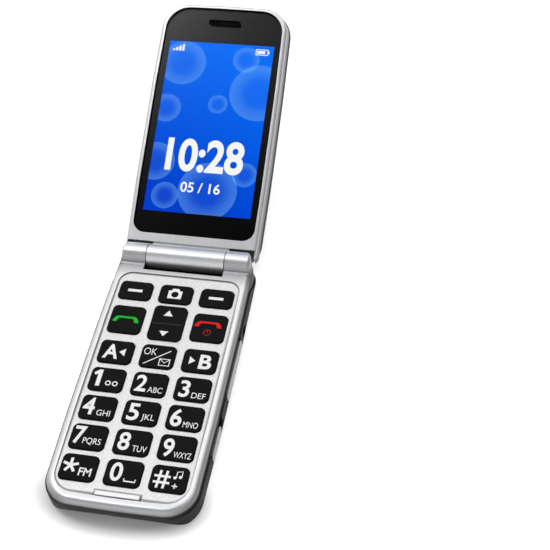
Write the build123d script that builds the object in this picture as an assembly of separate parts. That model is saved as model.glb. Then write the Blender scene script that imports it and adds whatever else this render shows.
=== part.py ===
from build123d import *

import os
from math import cos, hypot, radians, sin, sqrt, tan

# Folding mobile phone with a large-key keypad, opened to its stop.
#
# Millimetres. The base lies on its flat back. +Z is up through the keypad, +Y runs from the mouth end to
# the hinge, +X is the side with the headphone socket. The origin is the centre of the flat back.
# The lid is modelled folded shut on the base and then turned about the hinge axis to its open stop.

# ---------------------------------------------------------------- driving dimensions
HINGE_END_Y = 57.3           # the base's end behind the hinge
BASE_END_Y = -56.4           # the base's mouth end
LID_END_Y = -57.0            # the lid overhangs the mouth end a little, as a thumb lip
CASE_HALF_WIDTH = 26.9       # silver frames along the straight middle of their sides
SIDE_STRAIGHT = 20.0         # beyond this the sides come in a little towards both ends
SIDE_TAPER = 0.016           # per millimetre of length
FREE_END_BOW = 0.8           # the mouth end's slight curve
FREE_END_RADIUS = 11.0
HINGE_END_RADIUS = 8.0
REAR_BULGE = 0.6             # the dark rear case stands out beyond the frame
LID_FACE_INSET = 0.4         # the lid's frame flares from its face to its cover
LID_FLARE = 7.5              # in degrees
COVER_BULGE = 0.6

BASE_SPLIT_Z = 8.0           # dark rear case below, silver frame above
DECK_Z = 6.4                 # top of the rear case's inner floor, under the board
PLATE_TOP_Z = 10.6
RIM_Z = 11.0
LID_FACE_Z = 11.5            # closed: the lid's inner face
LID_SPLIT_Z = 16.8           # closed: silver lid frame below, dark cover above
LID_BACK_Z = 21.0            # closed: thickness of the folded phone

AXIS_Y = 52.3                # hinge axis, along X
AXIS_Z = 9.8
OPEN_ANGLE = 154.4           # from shut to the open stop
BARREL_RADIUS = 4.7
CENTRE_BARREL_HALF = 15.3    # the lid's barrel, between the base's two
SIDE_BARREL_START = 15.6
SIDE_BARREL_END = 25.25

WALL = 1.6
FIT_GAP = 0.12               # between pieces that are assembled once
RUN_GAP = 0.18               # round a key or a button that travels

KEY_TRAVEL = 0.35
SCREW_RADIUS = 0.7
SCREW_HEAD_RADIUS = 1.4

HINGE_AXIS = Axis((0, AXIS_Y, AXIS_Z), (1, 0, 0))


# ---------------------------------------------------------------- small helpers
def side_x(y, width=CASE_HALF_WIDTH):
    """Half width at a length y, for an outline that is this wide along its middle."""
    return width - SIDE_TAPER * max(0, abs(y) - SIDE_STRAIGHT)


def block(x, y, z):
    """A box given by its low and high limit on each axis."""
    size = (x[1] - x[0], y[1] - y[0], z[1] - z[0])
    return Pos((x[0] + x[1]) / 2, (y[0] + y[1]) / 2, (z[0] + z[1]) / 2) * Box(*size)


def post(radius, x, y, z):
    """An upright cylinder between two heights."""
    return Pos(x, y, (z[0] + z[1]) / 2) * Cylinder(radius, z[1] - z[0])


def rod(radius, x, y=AXIS_Y, z=AXIS_Z):
    """A cylinder along X, on the hinge axis unless told otherwise."""
    return Pos((x[0] + x[1]) / 2, y, z) * Rot(0, 90, 0) * Cylinder(radius, x[1] - x[0])


def slab(face, z):
    """A plan outline made solid between two heights."""
    return Pos(0, 0, z[0]) * extrude(face, z[1] - z[0])


def mirrored(shape):
    """A shape and its twin across the phone's middle plane."""
    return shape + mirror(shape, about=Plane.YZ)


def pad(width, height, radius, x=0.0, y=0.0):
    """Rounded rectangle in plan."""
    return Pos(x, y) * RectangleRounded(width, height, radius)


def round_ended_plan(width, y, r_low, r_high, bow=FREE_END_BOW):
    """Plan between two lengths, with tapered ends, a slightly curved free end and rounded corners."""
    low_x, high_x = side_x(y[0], width), side_x(y[1], width)
    corners = [(low_x, y[0] + bow), (width, -SIDE_STRAIGHT), (width, SIDE_STRAIGHT), (high_x, y[1])]
    face = make_face([
        ThreePointArc((-low_x, y[0] + bow), (0, y[0]), (low_x, y[0] + bow)),
        Polyline(corners + [(-x, place) for x, place in reversed(corners)]),
    ])
    face = fillet(face.vertices().sort_by(Axis.Y)[:2], r_low)
    return fillet(face.vertices().sort_by(Axis.Y)[-2:], r_high)


def case_plan(y, r_high, inset=0.0, widen=0.0):
    """Plan of a case half, with all of its outline set in, or only its sides set out."""
    width = CASE_HALF_WIDTH + widen - inset
    y = (y[0] + inset, y[1] - inset)
    return round_ended_plan(width, y, FREE_END_RADIUS - inset, max(r_high - inset, 0.5))


def base_plan(inset=0.0, widen=0.0):
    """Outline of the base, seen from above."""
    return case_plan((BASE_END_Y, HINGE_END_Y), HINGE_END_RADIUS, inset, widen)


def cavity_plan(inset=WALL):
    """Outline of the room inside the base's walls."""
    return case_plan((BASE_END_Y, CAVITY_END_Y + inset), 3.0, inset)


def edges_at(shape, z, y_below=1e3):
    """Edges that lie flat at one height, up to a given length."""
    found = shape.edges().filter_by(lambda e: abs(e.bounding_box().min.Z - z) < 1e-3)
    found = found.filter_by(lambda e: abs(e.bounding_box().max.Z - z) < 1e-3)
    return found.filter_by(lambda e: e.center().Y < y_below)


# ---------------------------------------------------------------- keypad layout
KEY_WIDTH = 12.7
KEY_COLUMN_X = 15.7          # centres of the outer columns
KEY_CORNER = 2.0
KEY_TOP_Z = 11.3
KEY_SKIRT_Z = (9.05, 9.5)    # the skirt that holds the key under the plate
KEY_SKIRT_OUT = 0.4
DIGIT_ROW_PITCH = 11.9
DIGIT_ROW_TOP_Y = -7.15      # centre of the 1-2-3 row

# row centre, key height
SOFT_ROW = (33.7, 8.6)
CALL_ROW = (19.9, 12.6)
MEMORY_ROW = (5.0, 10.0)
NAVIGATION_KEY = (20.1, 15.4)
DIGIT_HEIGHT = 9.9


def key_layout():
    """Name, centre and height of every key."""
    rows = [
        (SOFT_ROW, ("soft_left_key", "camera_key", "soft_right_key")),
        (CALL_ROW, ("call_key", "navigation_key", "end_key")),
        (MEMORY_ROW, ("memory_a_key", "ok_key", "memory_b_key")),
    ]
    digits = (("digit_1_key", "digit_2_key", "digit_3_key"), ("digit_4_key", "digit_5_key", "digit_6_key"),
              ("digit_7_key", "digit_8_key", "digit_9_key"), ("star_key", "digit_0_key", "hash_key"))
    for number, names in enumerate(digits):
        rows.append(((DIGIT_ROW_TOP_Y - number * DIGIT_ROW_PITCH, DIGIT_HEIGHT), names))
    layout = {}
    for (y, height), names in rows:
        for x, name in zip((-KEY_COLUMN_X, 0.0, KEY_COLUMN_X), names):
            layout[name] = (x, y, height)
    layout["navigation_key"] = (0.0, *NAVIGATION_KEY)
    return layout


KEYS = key_layout()

PLATE_HALF_WIDTH = 23.8
PLATE_Y = (-52.2, 42.5)
PLATE_Z = (9.8, PLATE_TOP_Z)
PLATE_LOW_RADIUS = 7.5
PLATE_HIGH_RADIUS = 5.0
LEDGE_Z = 9.2                # underside of the ledge that carries the plate
LEDGE_WIDTH = 0.7
LEDGE_CORNER = 5.0
STOP_HALF_WIDTH = 7.8        # the bar the lid closes on
STOP_Y = (-52.5, -50.2)


def plate_plan(grow=0.0, corner=None):
    """Outline of the keypad plate; it follows the case's sides."""
    y = (PLATE_Y[0] - grow, PLATE_Y[1] + grow)
    low, high = (corner or radius + grow for radius in (PLATE_LOW_RADIUS, PLATE_HIGH_RADIUS))
    return round_ended_plan(PLATE_HALF_WIDTH + grow, y, low, high)


# ---------------------------------------------------------------- base: housings
RECESS_Y = 44.4              # the deck stops here, in front of the centre barrel
RECESS_FLOOR_Z = 2.4
CAVITY_END_Y = 43.2
HINGE_BORE_RADIUS = 2.62
HINGE_BORE_END = 23.4
BASE_SCREWS = [(20.5, 34.5), (20.5, -47.0)]
BOSS_TOP_Z = 8.4             # under the keys' skirts, clear of their travel
BACK_EDGE_RADIUS = 2.4
RIM_RADIUS = 2.8
NECK_RADIUS = 2.0
CHARGE_PAD_X = 3.4
CHARGE_PAD_Y = -55.0
CHARGE_PAD_Z = 4.6
CHIN_RADIUS = 8.0            # the mouth end curves under from the split to the flat back
CHIN_WALL = 1.2
SKIRT_INSET = (1.1, 1.9)     # the frame's inner lip, which drops inside the rear case
BARREL_BEVEL = 0.8


def side_barrels():
    """The base's two hinge barrels, each run into the deck by a hollow neck."""
    neck_z = RIM_Z + NECK_RADIUS
    neck_y = AXIS_Y - sqrt((BARREL_RADIUS + NECK_RADIUS) ** 2 - (neck_z - AXIS_Z) ** 2)
    web = make_face(Polyline((neck_y, AXIS_Z), (neck_y, neck_z), (AXIS_Y, AXIS_Z), close=True))
    web -= Pos(neck_y, neck_z) * Circle(NECK_RADIUS)
    neck = extrude(Plane.YZ.offset(SIDE_BARREL_START) * web, SIDE_BARREL_END - SIDE_BARREL_START)
    barrel = rod(BARREL_RADIUS, (SIDE_BARREL_START, SIDE_BARREL_END))
    barrel = chamfer(barrel.faces().sort_by(Axis.X)[-1].edges(), BARREL_BEVEL)
    return mirrored(barrel + neck)


def cheek_region():
    """Side view of the hinge end, which the silver frame wraps down to the back."""
    split = Bezier((37, BASE_SPLIT_Z), (45, BASE_SPLIT_Z), (44, RECESS_FLOOR_Z), (53, RECESS_FLOOR_Z))
    rest = Polyline((53, RECESS_FLOOR_Z), (60, RECESS_FLOOR_Z), (60, BASE_SPLIT_Z), (37, BASE_SPLIT_Z))
    return extrude(Plane.YZ.offset(-40) * make_face([split, rest]), 80)


def make_base_frame():
    """Silver upper case: the rim round the keypad, the deck and the two outer hinge barrels."""
    frame = slab(base_plan(), (BASE_SPLIT_Z, RIM_Z))
    frame = fillet(edges_at(frame, RIM_Z), RIM_RADIUS)
    frame += slab(base_plan(), (RECESS_FLOOR_Z, BASE_SPLIT_Z)) & cheek_region()
    frame += side_barrels() & slab(base_plan(), (RECESS_FLOOR_Z, AXIS_Z + 2 * BARREL_RADIUS))
    ledge = plate_plan(-LEDGE_WIDTH, LEDGE_CORNER)
    frame -= slab(cavity_plan(), (RECESS_FLOOR_Z, LEDGE_Z))
    frame -= slab(ledge, (LEDGE_Z, PLATE_Z[0]))
    frame -= slab(plate_plan(grow=FIT_GAP), (PLATE_Z[0], RIM_Z + 1))
    frame -= block((-SIDE_BARREL_START, SIDE_BARREL_START), (RECESS_Y, 70), (0, 30))
    frame -= mirrored(rod(HINGE_BORE_RADIUS, (SIDE_BARREL_START - 1, HINGE_BORE_END)))
    frame += make_skirt()
    for x, y in BASE_SCREWS:
        boss = post(2.0, x, y, (DECK_Z + 0.1, BOSS_TOP_Z))
        boss += block((x, side_x(y) - SKIRT_INSET[0] - 0.1), (y - 0.6, y + 0.6), (DECK_Z + 1.2, BOSS_TOP_Z))
        frame += mirrored(boss)
        frame -= mirrored(post(SCREW_RADIUS + 0.02, x, y, (DECK_Z, BOSS_TOP_Z + 1)))
    return frame


def make_skirt():
    """The frame's inner lip, notched for the side buttons and the headphone socket."""
    z = (DECK_Z + 0.1, BASE_SPLIT_Z + 0.1)
    outer, inner = (slab(cavity_plan(inset), z) for inset in SKIRT_INSET)
    skirt = (outer - inner) & block((-40, 40), (-60, 36), (0, 20))
    skirt -= chin_corner(CHIN_RADIUS - CHIN_WALL - FIT_GAP)
    for y0, y1 in (ROCKER_Y, (SLIDER_Y[0], SLIDER_Y[1] + SLIDER_TRAVEL)):
        skirt -= block((20, 30), (y0 - 1.2, y1 + 1.2), (0, BASE_SPLIT_Z))
    return skirt - rod(SOCKET_MOUTH_RADIUS + 0.3, (20, 30), SOCKET_Y, SOCKET_Z)


def make_keypad_plate():
    """Pale plate with a window for each key and a notch for the closing stop."""
    plate = slab(plate_plan(), PLATE_Z)
    for x, y, height in KEYS.values():
        window = pad(KEY_WIDTH + 2 * RUN_GAP, height + 2 * RUN_GAP, KEY_CORNER + RUN_GAP, x, y)
        plate -= slab(window, (PLATE_Z[0] - 1, PLATE_Z[1] + 1))
    notch = STOP_HALF_WIDTH + FIT_GAP
    return plate - block((-notch, notch), (STOP_Y[0] - 1, STOP_Y[1] + FIT_GAP), (PLATE_Z[0] - 1, 12))


def make_closing_stop():
    """The low bar at the mouth end that the lid closes on."""
    bar = block((-STOP_HALF_WIDTH, STOP_HALF_WIDTH), (PLATE_Y[0], STOP_Y[1]), (PLATE_Z[0], RIM_Z + 0.25))
    return fillet(bar.edges().filter_by(lambda e: e.center().Z > RIM_Z), 0.35)


def chin_corner(radius=CHIN_RADIUS):
    """What lies outside the arc by which the mouth end curves under."""
    middle = (BASE_END_Y + CHIN_RADIUS, CHIN_RADIUS)
    corner = block((-40, 40), (BASE_END_Y - 5, middle[0]), (-1, middle[1]))
    return corner - rod(radius, (-41, 41), *middle)


def lower_shell():
    """The whole dark half of the base as one solid, before it is split into case and cover."""
    shell = slab(base_plan(widen=REAR_BULGE), (0, BASE_SPLIT_Z))
    shell = fillet(edges_at(shell, 0), BACK_EDGE_RADIUS)
    shell = fillet(edges_at(shell, BASE_SPLIT_Z), 0.4)
    return shell - chin_corner()


def bay(z, y=(-70, 70)):
    """Room between the rear case's walls, over a height and a length."""
    room = slab(cavity_plan(WALL - REAR_BULGE), z) & block((-40, 40), y, z)
    return room - chin_corner(CHIN_RADIUS - CHIN_WALL)


COVER_END_Y = 30.0           # the battery cover slides against the rear case here
COVER_Z = 1.4
COVER_HOOK_YS = (-37.0, -10.7)
BAY_CEILING_Z = 5.6
SIDE_SLOT_Z = (3.9, 7.8)
SIDE_SLOT_MID_Z = sum(SIDE_SLOT_Z) / 2
ROCKER_Y = (-6.3, 18.9)
SLIDER_Y = (-31.0, -18.1)
SLIDER_TRAVEL = 3.2
SOCKET_Y = 24.6
SOCKET_Z = 4.6
SOCKET_MOUTH_RADIUS = 2.5
SOCKET_BORE_RADIUS = 1.8
SOCKET_BODY_X = (12.2, 27.0)
USB_HALF_WIDTH = 3.75
USB_HALF_HEIGHT = 1.35
USB_Z = 4.0
TORCH_HALF_WIDTH = 5.75
TORCH_Z = (0.5, 2.3)
SPEAKER_Y = (31.6, 42.4)
SPEAKER_HALF_WIDTH = 8.0
MOTOR_Y = -49.2
MOTOR_Z = 3.6
MICROPHONE_XY = (-13.0, -49.0)


def make_rear_case():
    """Dark lower case: side band, battery bay, hinge floor and the outlets in its walls."""
    case = lower_shell() - cheek_region()
    case -= block((-40, 40), (-70, COVER_END_Y), (-1, COVER_Z))
    case -= bay((COVER_Z, BAY_CEILING_Z), (-70, COVER_END_Y)) + bay((1.2, BAY_CEILING_Z), (COVER_END_Y - 0.1, 60))
    case -= bay((DECK_Z, BASE_SPLIT_Z + 1))
    case -= block((-SIDE_BARREL_START, SIDE_BARREL_START), (RECESS_Y, 70), (RECESS_FLOOR_Z, 9))
    # openings in the bay's ceiling for what hangs under the board
    wall_x = side_x(SOCKET_Y) + REAR_BULGE - WALL
    case -= block((SOCKET_BODY_X[0] - 0.2, wall_x), (SOCKET_Y - 3.0, SOCKET_Y + 3.0), (3, 9))
    case -= block((-wall_x, -20.6), (SOCKET_Y - 4.2, SOCKET_Y + 4.2), (3, 9))
    case -= mirrored(block((20.6, 25.9), (-34, 21), (3, 9)))
    case -= block((-12, 12), (12, 29), (5, 9))
    case -= block((-4.6, 4.6), (10.5, 12.7), (3, 9)) + block((-9.3, 9.3), (-53.3, -51.2), (5, 9))
    case -= post(2.3, *MICROPHONE_XY, (5, 9))
    case -= mirrored(block((CHARGE_PAD_X - 0.8, CHARGE_PAD_X + 0.8), (-54.6, -53.0), (4, 9)))
    # side wall: rocker slot, slider slot, headphone socket; left wall: charging socket
    slot_z = (SIDE_SLOT_Z[0] - RUN_GAP, BASE_SPLIT_Z + 2)
    slider_slot = (SLIDER_Y[0] - 0.2, SLIDER_Y[1] + SLIDER_TRAVEL + 0.3)
    for y0, y1 in ((ROCKER_Y[0] - 0.2, ROCKER_Y[1] + 0.2), slider_slot):
        opening = pad(y1 - y0, slot_z[1] - slot_z[0], 1.3, (y0 + y1) / 2, sum(slot_z) / 2)
        case -= extrude(Plane.YZ.offset(22) * opening, 8)
    case -= rod(SOCKET_MOUTH_RADIUS, (24, 30), SOCKET_Y, SOCKET_Z)
    case -= block((-30, -24), (SOCKET_Y - USB_HALF_WIDTH - 0.15, SOCKET_Y + USB_HALF_WIDTH + 0.15),
                  (USB_Z - USB_HALF_HEIGHT - 0.15, USB_Z + USB_HALF_HEIGHT + 0.15))
    # torch window and its lamp in the hinge end
    case -= block((-TORCH_HALF_WIDTH - FIT_GAP, TORCH_HALF_WIDTH + FIT_GAP), (54.6, 60), (TORCH_Z[0] - 0.1, 5))
    case -= block((-1.6, 1.6), (52.4, 56), (TORCH_Z[0] - 0.1, 5))
    # sound slots under the loudspeaker
    for number in range(5):
        case -= slab(pad(12.0, 0.9, 0.4, 0, SPEAKER_Y[0] + 1.6 + 1.9 * number), (-1, 2))
    # pads for the charging stand
    case -= mirrored(block((CHARGE_PAD_X - 1.4, CHARGE_PAD_X + 1.4), (-60, -53.6),
                           (CHARGE_PAD_Z - 1.0, CHARGE_PAD_Z + 1.0)))
    for x, y in BASE_SCREWS:
        case += mirrored(post(2.2, x, y, (COVER_Z + 0.1, DECK_Z)))
        case -= mirrored(post(SCREW_RADIUS + 0.1, x, y, (0, 9)))
        case -= mirrored(post(SCREW_HEAD_RADIUS + 0.1, x, y, (0, COVER_Z + 1.6)))
    return case


def make_battery_cover():
    """Snap-on back, with its share of the rounded edge and four hooks."""
    cover = lower_shell() & block((-40, 40), (-70, COVER_END_Y - FIT_GAP), (0, COVER_Z - 0.05))
    for y in COVER_HOOK_YS:
        cover += mirrored(block((24.2, 25.2), (y - 1.5, y + 1.5), (COVER_Z - 0.2, COVER_Z + 1.2)))
    return cover + block((-6, 6), (27.8, 28.8), (COVER_Z - 0.2, COVER_Z + 1.2))


# ---------------------------------------------------------------- base: keys and buttons
def make_key(name):
    """One key cap: a crowned button on a skirt that keeps it under the plate."""
    x, y, height = KEYS[name]
    skirt = slab(pad(KEY_WIDTH + 2 * KEY_SKIRT_OUT, height + 2 * KEY_SKIRT_OUT, KEY_CORNER + KEY_SKIRT_OUT, x, y),
                 KEY_SKIRT_Z)
    cap = slab(pad(KEY_WIDTH, height, KEY_CORNER, x, y), (KEY_SKIRT_Z[1], KEY_TOP_Z))
    if name == "navigation_key":
        ridge_z = KEY_TOP_Z + 0.1
        cap -= Pos(x, y, ridge_z) * Rot(0, 90, 0) * Cylinder(0.35, KEY_WIDTH + 1)
        dish = Pos(x, y, KEY_TOP_Z + 38.9) * Rot(0, 90, 0) * Cylinder(39.2, KEY_WIDTH + 1)
        return cap - dish + skirt
    cap = fillet(edges_at(cap, KEY_TOP_Z), 0.45)
    return cap + skirt


def make_volume_rocker():
    """Two-way side key with a thumb dip at its middle, held by a flange inside the wall."""
    y0, y1 = ROCKER_Y
    mid = (y0 + y1) / 2
    z0, z1 = SIDE_SLOT_Z
    cap = extrude(Plane.YZ.offset(25.2) * pad(y1 - y0, z1 - z0, 1.2, mid, SIDE_SLOT_MID_Z), 2.7)
    cap = fillet(cap.faces().sort_by(Axis.X)[-1].edges(), 0.4)
    cap -= Pos(28.2, mid, SIDE_SLOT_MID_Z) * Cylinder(0.6, 10)
    flange = block((24.7, 25.4), (y0 - 0.8, y1 + 0.8), (z0 - 0.5, z1 - 0.3))
    nubs = [block((23.9, 24.8), (y - 0.8, y + 0.8), (4.0, 5.6)) for y in (mid - 8, mid + 8)]
    return cap + flange + nubs


def make_torch_slider():
    """Ribbed thumb slide on a carrier that rides inside the wall."""
    y0, y1 = SLIDER_Y
    z0, z1 = SIDE_SLOT_Z
    mid = (y0 + y1) / 2
    knob = extrude(Plane.YZ.offset(25.0) * pad(y1 - y0, z1 - z0, 1.2, mid, SIDE_SLOT_MID_Z), 2.85)
    knob = fillet(knob.faces().sort_by(Axis.X)[-1].edges(), 0.35)
    for step in range(-4, 5):
        knob -= Pos(27.95, mid + step * 1.1, SIDE_SLOT_MID_Z) * Cylinder(0.22, 10)
    return knob + block((24.6, 25.45), (y0 - 0.6, y1 + 0.6), (z0 - 0.5, z1 - 0.3))


# ---------------------------------------------------------------- base: electronics
BOARD_Z = (6.6, 7.5)
BOARD_INSET = 2.2
BATTERY_HALF_WIDTH = 17.0
BATTERY_Y = (-43.6, 10.4)
BATTERY_Z = (1.6, 5.4)
WEB_Z = (8.2, 8.65)


def make_main_board():
    """Circuit board under the keypad, notched round the screw bosses."""
    board = slab(cavity_plan(BOARD_INSET), BOARD_Z) & block((-24.0, 24.0), (-60, 42.7), (0, 20))
    for x, y in BASE_SCREWS:
        board -= mirrored(post(2.5, x, y, (0, 20)))
        board -= mirrored(block((x, 30), (y - 1.1, y + 1.1), (0, 20)))
    return board


def make_board_parts():
    """What is soldered on the board's underside and edges."""
    below = BOARD_Z[0]
    parts = [block((-11.5, 11.0), (13.0, 28.0), (below - 1.4, below))]                 # shield can
    parts.append(block((-9, 9), (-53.0, -51.6), (below - 1.0, below)))                 # end connector
    parts.append(post(2.0, *MICROPHONE_XY, (below - 1.0, below)))                      # microphone
    mid = sum(ROCKER_Y) / 2
    switch_ys = (mid - 8, mid + 8)
    parts += [block((21.0, 23.5), (y - 1.8, y + 1.8), (3.0, below)) for y in switch_ys]
    parts.append(block((21.0, 23.9), (-30.0, -20.0), (3.0, below)))                    # slide switch
    parts += [block((x - 0.8, x + 0.8), (10.8, 12.4), (2.2, below)) for x in (-3.0, 0.0, 3.0)]
    parts.append(block((-1.5, 1.5), (52.6, 54.5), (TORCH_Z[0], RECESS_FLOOR_Z - 0.1)))  # torch lamp
    return Compound(children=parts)


def make_dome_sheet():
    """Film with one metal snap dome under each key."""
    film = slab(plate_plan(grow=-2.6), (BOARD_Z[1], BOARD_Z[1] + 0.1))
    film -= mirrored(post(2.4, *BASE_SCREWS[0], (0, 20)))
    film -= mirrored(post(2.4, *BASE_SCREWS[1], (0, 20)))
    for x, y, _ in KEYS.values():
        film += Pos(x, y, BOARD_Z[1] + 0.1) * Cone(2.4, 1.5, 0.25, align=(Align.CENTER, Align.CENTER, Align.MIN))
    return film


def make_keypad_web():
    """Silicone mat that carries each key's push onto its dome."""
    web = slab(plate_plan(grow=-2.2), WEB_Z)
    web -= mirrored(post(2.3, *BASE_SCREWS[0], (0, 20)))
    web -= mirrored(post(2.3, *BASE_SCREWS[1], (0, 20)))
    for x, y, _ in KEYS.values():
        web += post(1.1, x, y, (BOARD_Z[1] + 0.4, WEB_Z[0]))
    return web


def make_headphone_jack():
    """Socket body with a blind bore for a 3.5 mm plug."""
    x0, x1 = SOCKET_BODY_X
    body = block((x0, x1 - 1.6), (SOCKET_Y - 2.8, SOCKET_Y + 2.8), (1.6, BOARD_Z[0]))
    body += rod(SOCKET_MOUTH_RADIUS - FIT_GAP, (x1 - 1.7, x1), SOCKET_Y, SOCKET_Z)
    return body - rod(SOCKET_BORE_RADIUS, (x0 + 0.8, x1 + 1), SOCKET_Y, SOCKET_Z)


def make_usb_port():
    """Folded steel socket shell with its contact tongue."""
    x0, x1 = -27.0, -21.2
    width, height = USB_HALF_WIDTH, USB_HALF_HEIGHT
    shell = Plane.YZ * (Pos(SOCKET_Y, USB_Z) * RectangleRounded(2 * width, 2 * height, 0.8))
    mouth = Plane.YZ * (Pos(SOCKET_Y, USB_Z) * RectangleRounded(2 * width - 0.6, 2 * height - 0.6, 0.5))
    port = Pos(x0, 0, 0) * extrude(shell, x1 - x0)
    port -= Pos(x0, 0, 0) * extrude(mouth, x1 - x0 - 0.6)
    port += block((x0 + 1.0, x1 - 0.4), (SOCKET_Y - 2.4, SOCKET_Y + 2.4), (USB_Z - 0.3, USB_Z + 0.3))
    legs = [block((x1 - 1.2, x1), (y - 0.4, y + 0.4), (USB_Z + 1.2, BOARD_Z[0])) for y in (SOCKET_Y - 3, SOCKET_Y + 3)]
    return port + legs


def make_loudspeaker():
    """Ringer capsule over the sound slots."""
    y0, y1 = SPEAKER_Y
    mid = (y0 + y1) / 2
    capsule = slab(pad(2 * SPEAKER_HALF_WIDTH, y1 - y0, 2.0, 0, mid), (1.3, 4.4))
    return capsule - slab(pad(2 * SPEAKER_HALF_WIDTH - 2.4, y1 - y0 - 2.4, 1.4, 0, mid), (1.2, 2.0))


def make_vibration_motor():
    """Bar motor across the mouth end; its shaft carries the off-centre weight."""
    can = rod(1.9, (2.0, 11.0), MOTOR_Y, MOTOR_Z)
    return can + rod(0.35, (10.9, 14.8), MOTOR_Y, MOTOR_Z)


def make_motor_weight():
    """Half-round weight with a running bore on the motor's shaft."""
    weight = rod(1.8, (11.6, 14.6), MOTOR_Y, MOTOR_Z) & block((0, 30), (-60, -40), (0, MOTOR_Z + 0.6))
    return weight - rod(0.4, (11, 15), MOTOR_Y, MOTOR_Z)


def make_charging_contacts():
    """Two sprung pads in the mouth end, for a charging stand."""
    padlet = block((CHARGE_PAD_X - 1.25, CHARGE_PAD_X + 1.25), (CHARGE_PAD_Y, -54.1),
                   (CHARGE_PAD_Z - 0.85, CHARGE_PAD_Z + 0.85))
    arm = block((CHARGE_PAD_X - 0.5, CHARGE_PAD_X + 0.5), (-54.2, -53.2), (CHARGE_PAD_Z - 0.85, BOARD_Z[0]))
    return mirrored(padlet + arm)


def make_torch_window():
    """Dark window of the torch, let into the hinge end."""
    window = block((-TORCH_HALF_WIDTH, TORCH_HALF_WIDTH), (54.7, HINGE_END_Y + 0.35), TORCH_Z)
    return fillet(window.edges().filter_by(Axis.Z), 0.9)


def make_base_screws():
    """Four case screws, driven from the battery side into the frame's bosses."""
    screws = []
    for x, y in BASE_SCREWS:
        screw = post(SCREW_HEAD_RADIUS, x, y, (COVER_Z + 0.4, COVER_Z + 1.6))
        screw += post(SCREW_RADIUS, x, y, (COVER_Z + 1.5, BOSS_TOP_Z - 0.2))
        screws += [screw, mirror(screw, about=Plane.YZ)]
    return Compound(children=screws)


# ---------------------------------------------------------------- hinge hardware
CAN_RADIUS = 2.6
CAN_X = (16.0, 23.3)
CAM_RADIUS = 1.85
SHAFT_RADIUS = 0.7
HEAD_RADIUS = 2.2
HEAD_X = (8.0, 15.3)


def make_hinge_can():
    """Pressed-in cup that holds the detent spring and follower."""
    can = rod(CAN_RADIUS, CAN_X)
    return can - rod(CAM_RADIUS + 0.1, (CAN_X[0] - 1, CAN_X[1] - 0.6))


def make_hinge_spring():
    """Compression spring that loads the follower."""
    wire = 0.22
    path = Helix(pitch=0.62, height=2.5, radius=1.35, center=(0, 0, 0), direction=(0, 0, 1))
    section = Plane(origin=path @ 0, z_dir=path % 0) * RegularPolygon(wire, 6)
    return Pos(19.75, AXIS_Y, AXIS_Z) * Rot(0, 90, 0) * sweep(section, path, is_frenet=True)


def cam_lobes(x0, x1, turned):
    """Two opposed wedge lobes of a face cam."""
    lobe = block((x0, x1), (AXIS_Y + 0.9, AXIS_Y + CAM_RADIUS - 0.1), (AXIS_Z - 0.5, AXIS_Z + 0.5))
    lobes = lobe + lobe.rotate(HINGE_AXIS, 180)
    return lobes.rotate(HINGE_AXIS, turned)


def make_hinge_follower():
    """Follower that the spring holds against the cam."""
    disc = rod(CAM_RADIUS - 0.05, (18.6, 19.5))
    return disc + cam_lobes(18.2, 18.7, 90) - rod(SHAFT_RADIUS + 0.06, (18, 20))


def make_hinge_cam():
    """Cam and shaft that turn with the lid; the flatted head drives from the lid's barrel."""
    head = rod(HEAD_RADIUS, HEAD_X) - block((0, 30), (0, 99), (AXIS_Z + HEAD_RADIUS - 0.5, 30))
    cam = rod(CAM_RADIUS - 0.05, (HEAD_X[1] - 0.1, 17.6)) + cam_lobes(17.5, 18.1, 0)
    return head + cam + rod(SHAFT_RADIUS, (17.5, 22.6))


PIVOT_NECK_RADIUS = 2.2
PIVOT_X = (-23.3, -15.9)


def make_pivot_tube():
    """Hollow pivot at the other end; the display's flex passes through it."""
    tube = rod(CAN_RADIUS, PIVOT_X) + rod(PIVOT_NECK_RADIUS, (PIVOT_X[1] - 0.1, -12.6))
    return tube - rod(1.5, (PIVOT_X[0] + 1.0, -12))


# ---------------------------------------------------------------- lid, modelled shut
LENS_HALF_WIDTH = 24.7
LENS_Y = (-55.0, 42.45)
LENS_END_BOW = 0.4
LENS_Z = (11.6, 12.65)
MASK_Z = (12.65, 12.8)
LID_LEDGE_TOP_Z = 13.4
SCREEN_HALF_WIDTH = 21.8
SCREEN_Y = (-40.2, 33.1)
SOUND_SLOT_Y = -48.9
SOUND_SLOT = (13.2, 2.1)
LID_FRAME_END_Y = 45.9
EAR_INNER_X = 25.5
EAR_END_Y = AXIS_Y - 2.4
NOTCH_Y = 44.6               # depth of the cover's cut-out for the centre barrel
SHOULDER_UNDER_Z = AXIS_Z + 5.3
KNUCKLE_BACK_Z = LID_BACK_Z - 0.1
KNUCKLE_CORNER_Y = AXIS_Y - 4.2
COVER_EDGE_RADIUS = 3.4
COVER_SKIN = 1.4
CAMERA_X = -1.5
CAMERA_Y = 33.6
CAMERA_WINDOW_RADIUS = 4.6
INDICATOR_X = -2.4
INDICATOR_YS = (26.8, 23.6)
INDICATOR_SIZE = (5.0, 2.2)
STRIP_Y = 16.2
STRIP_SIZE = (40.6, 1.5)
LID_SCREWS = [(20.5, 40.2), (17.0, -50.5)]


def lid_plan(y_high, r_high, inset=0.0):
    """Outline of a lid piece from the free end to a given length."""
    return case_plan((LID_END_Y, y_high), r_high, inset)


def lens_plan(grow=0.0):
    """Outline of the window over the screen: round at the free end, tighter at the hinge."""
    y = (LENS_Y[0] - grow, LENS_Y[1] + grow)
    return round_ended_plan(LENS_HALF_WIDTH + grow, y, 9.5 + grow, 4.8 + grow, LENS_END_BOW)


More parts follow.
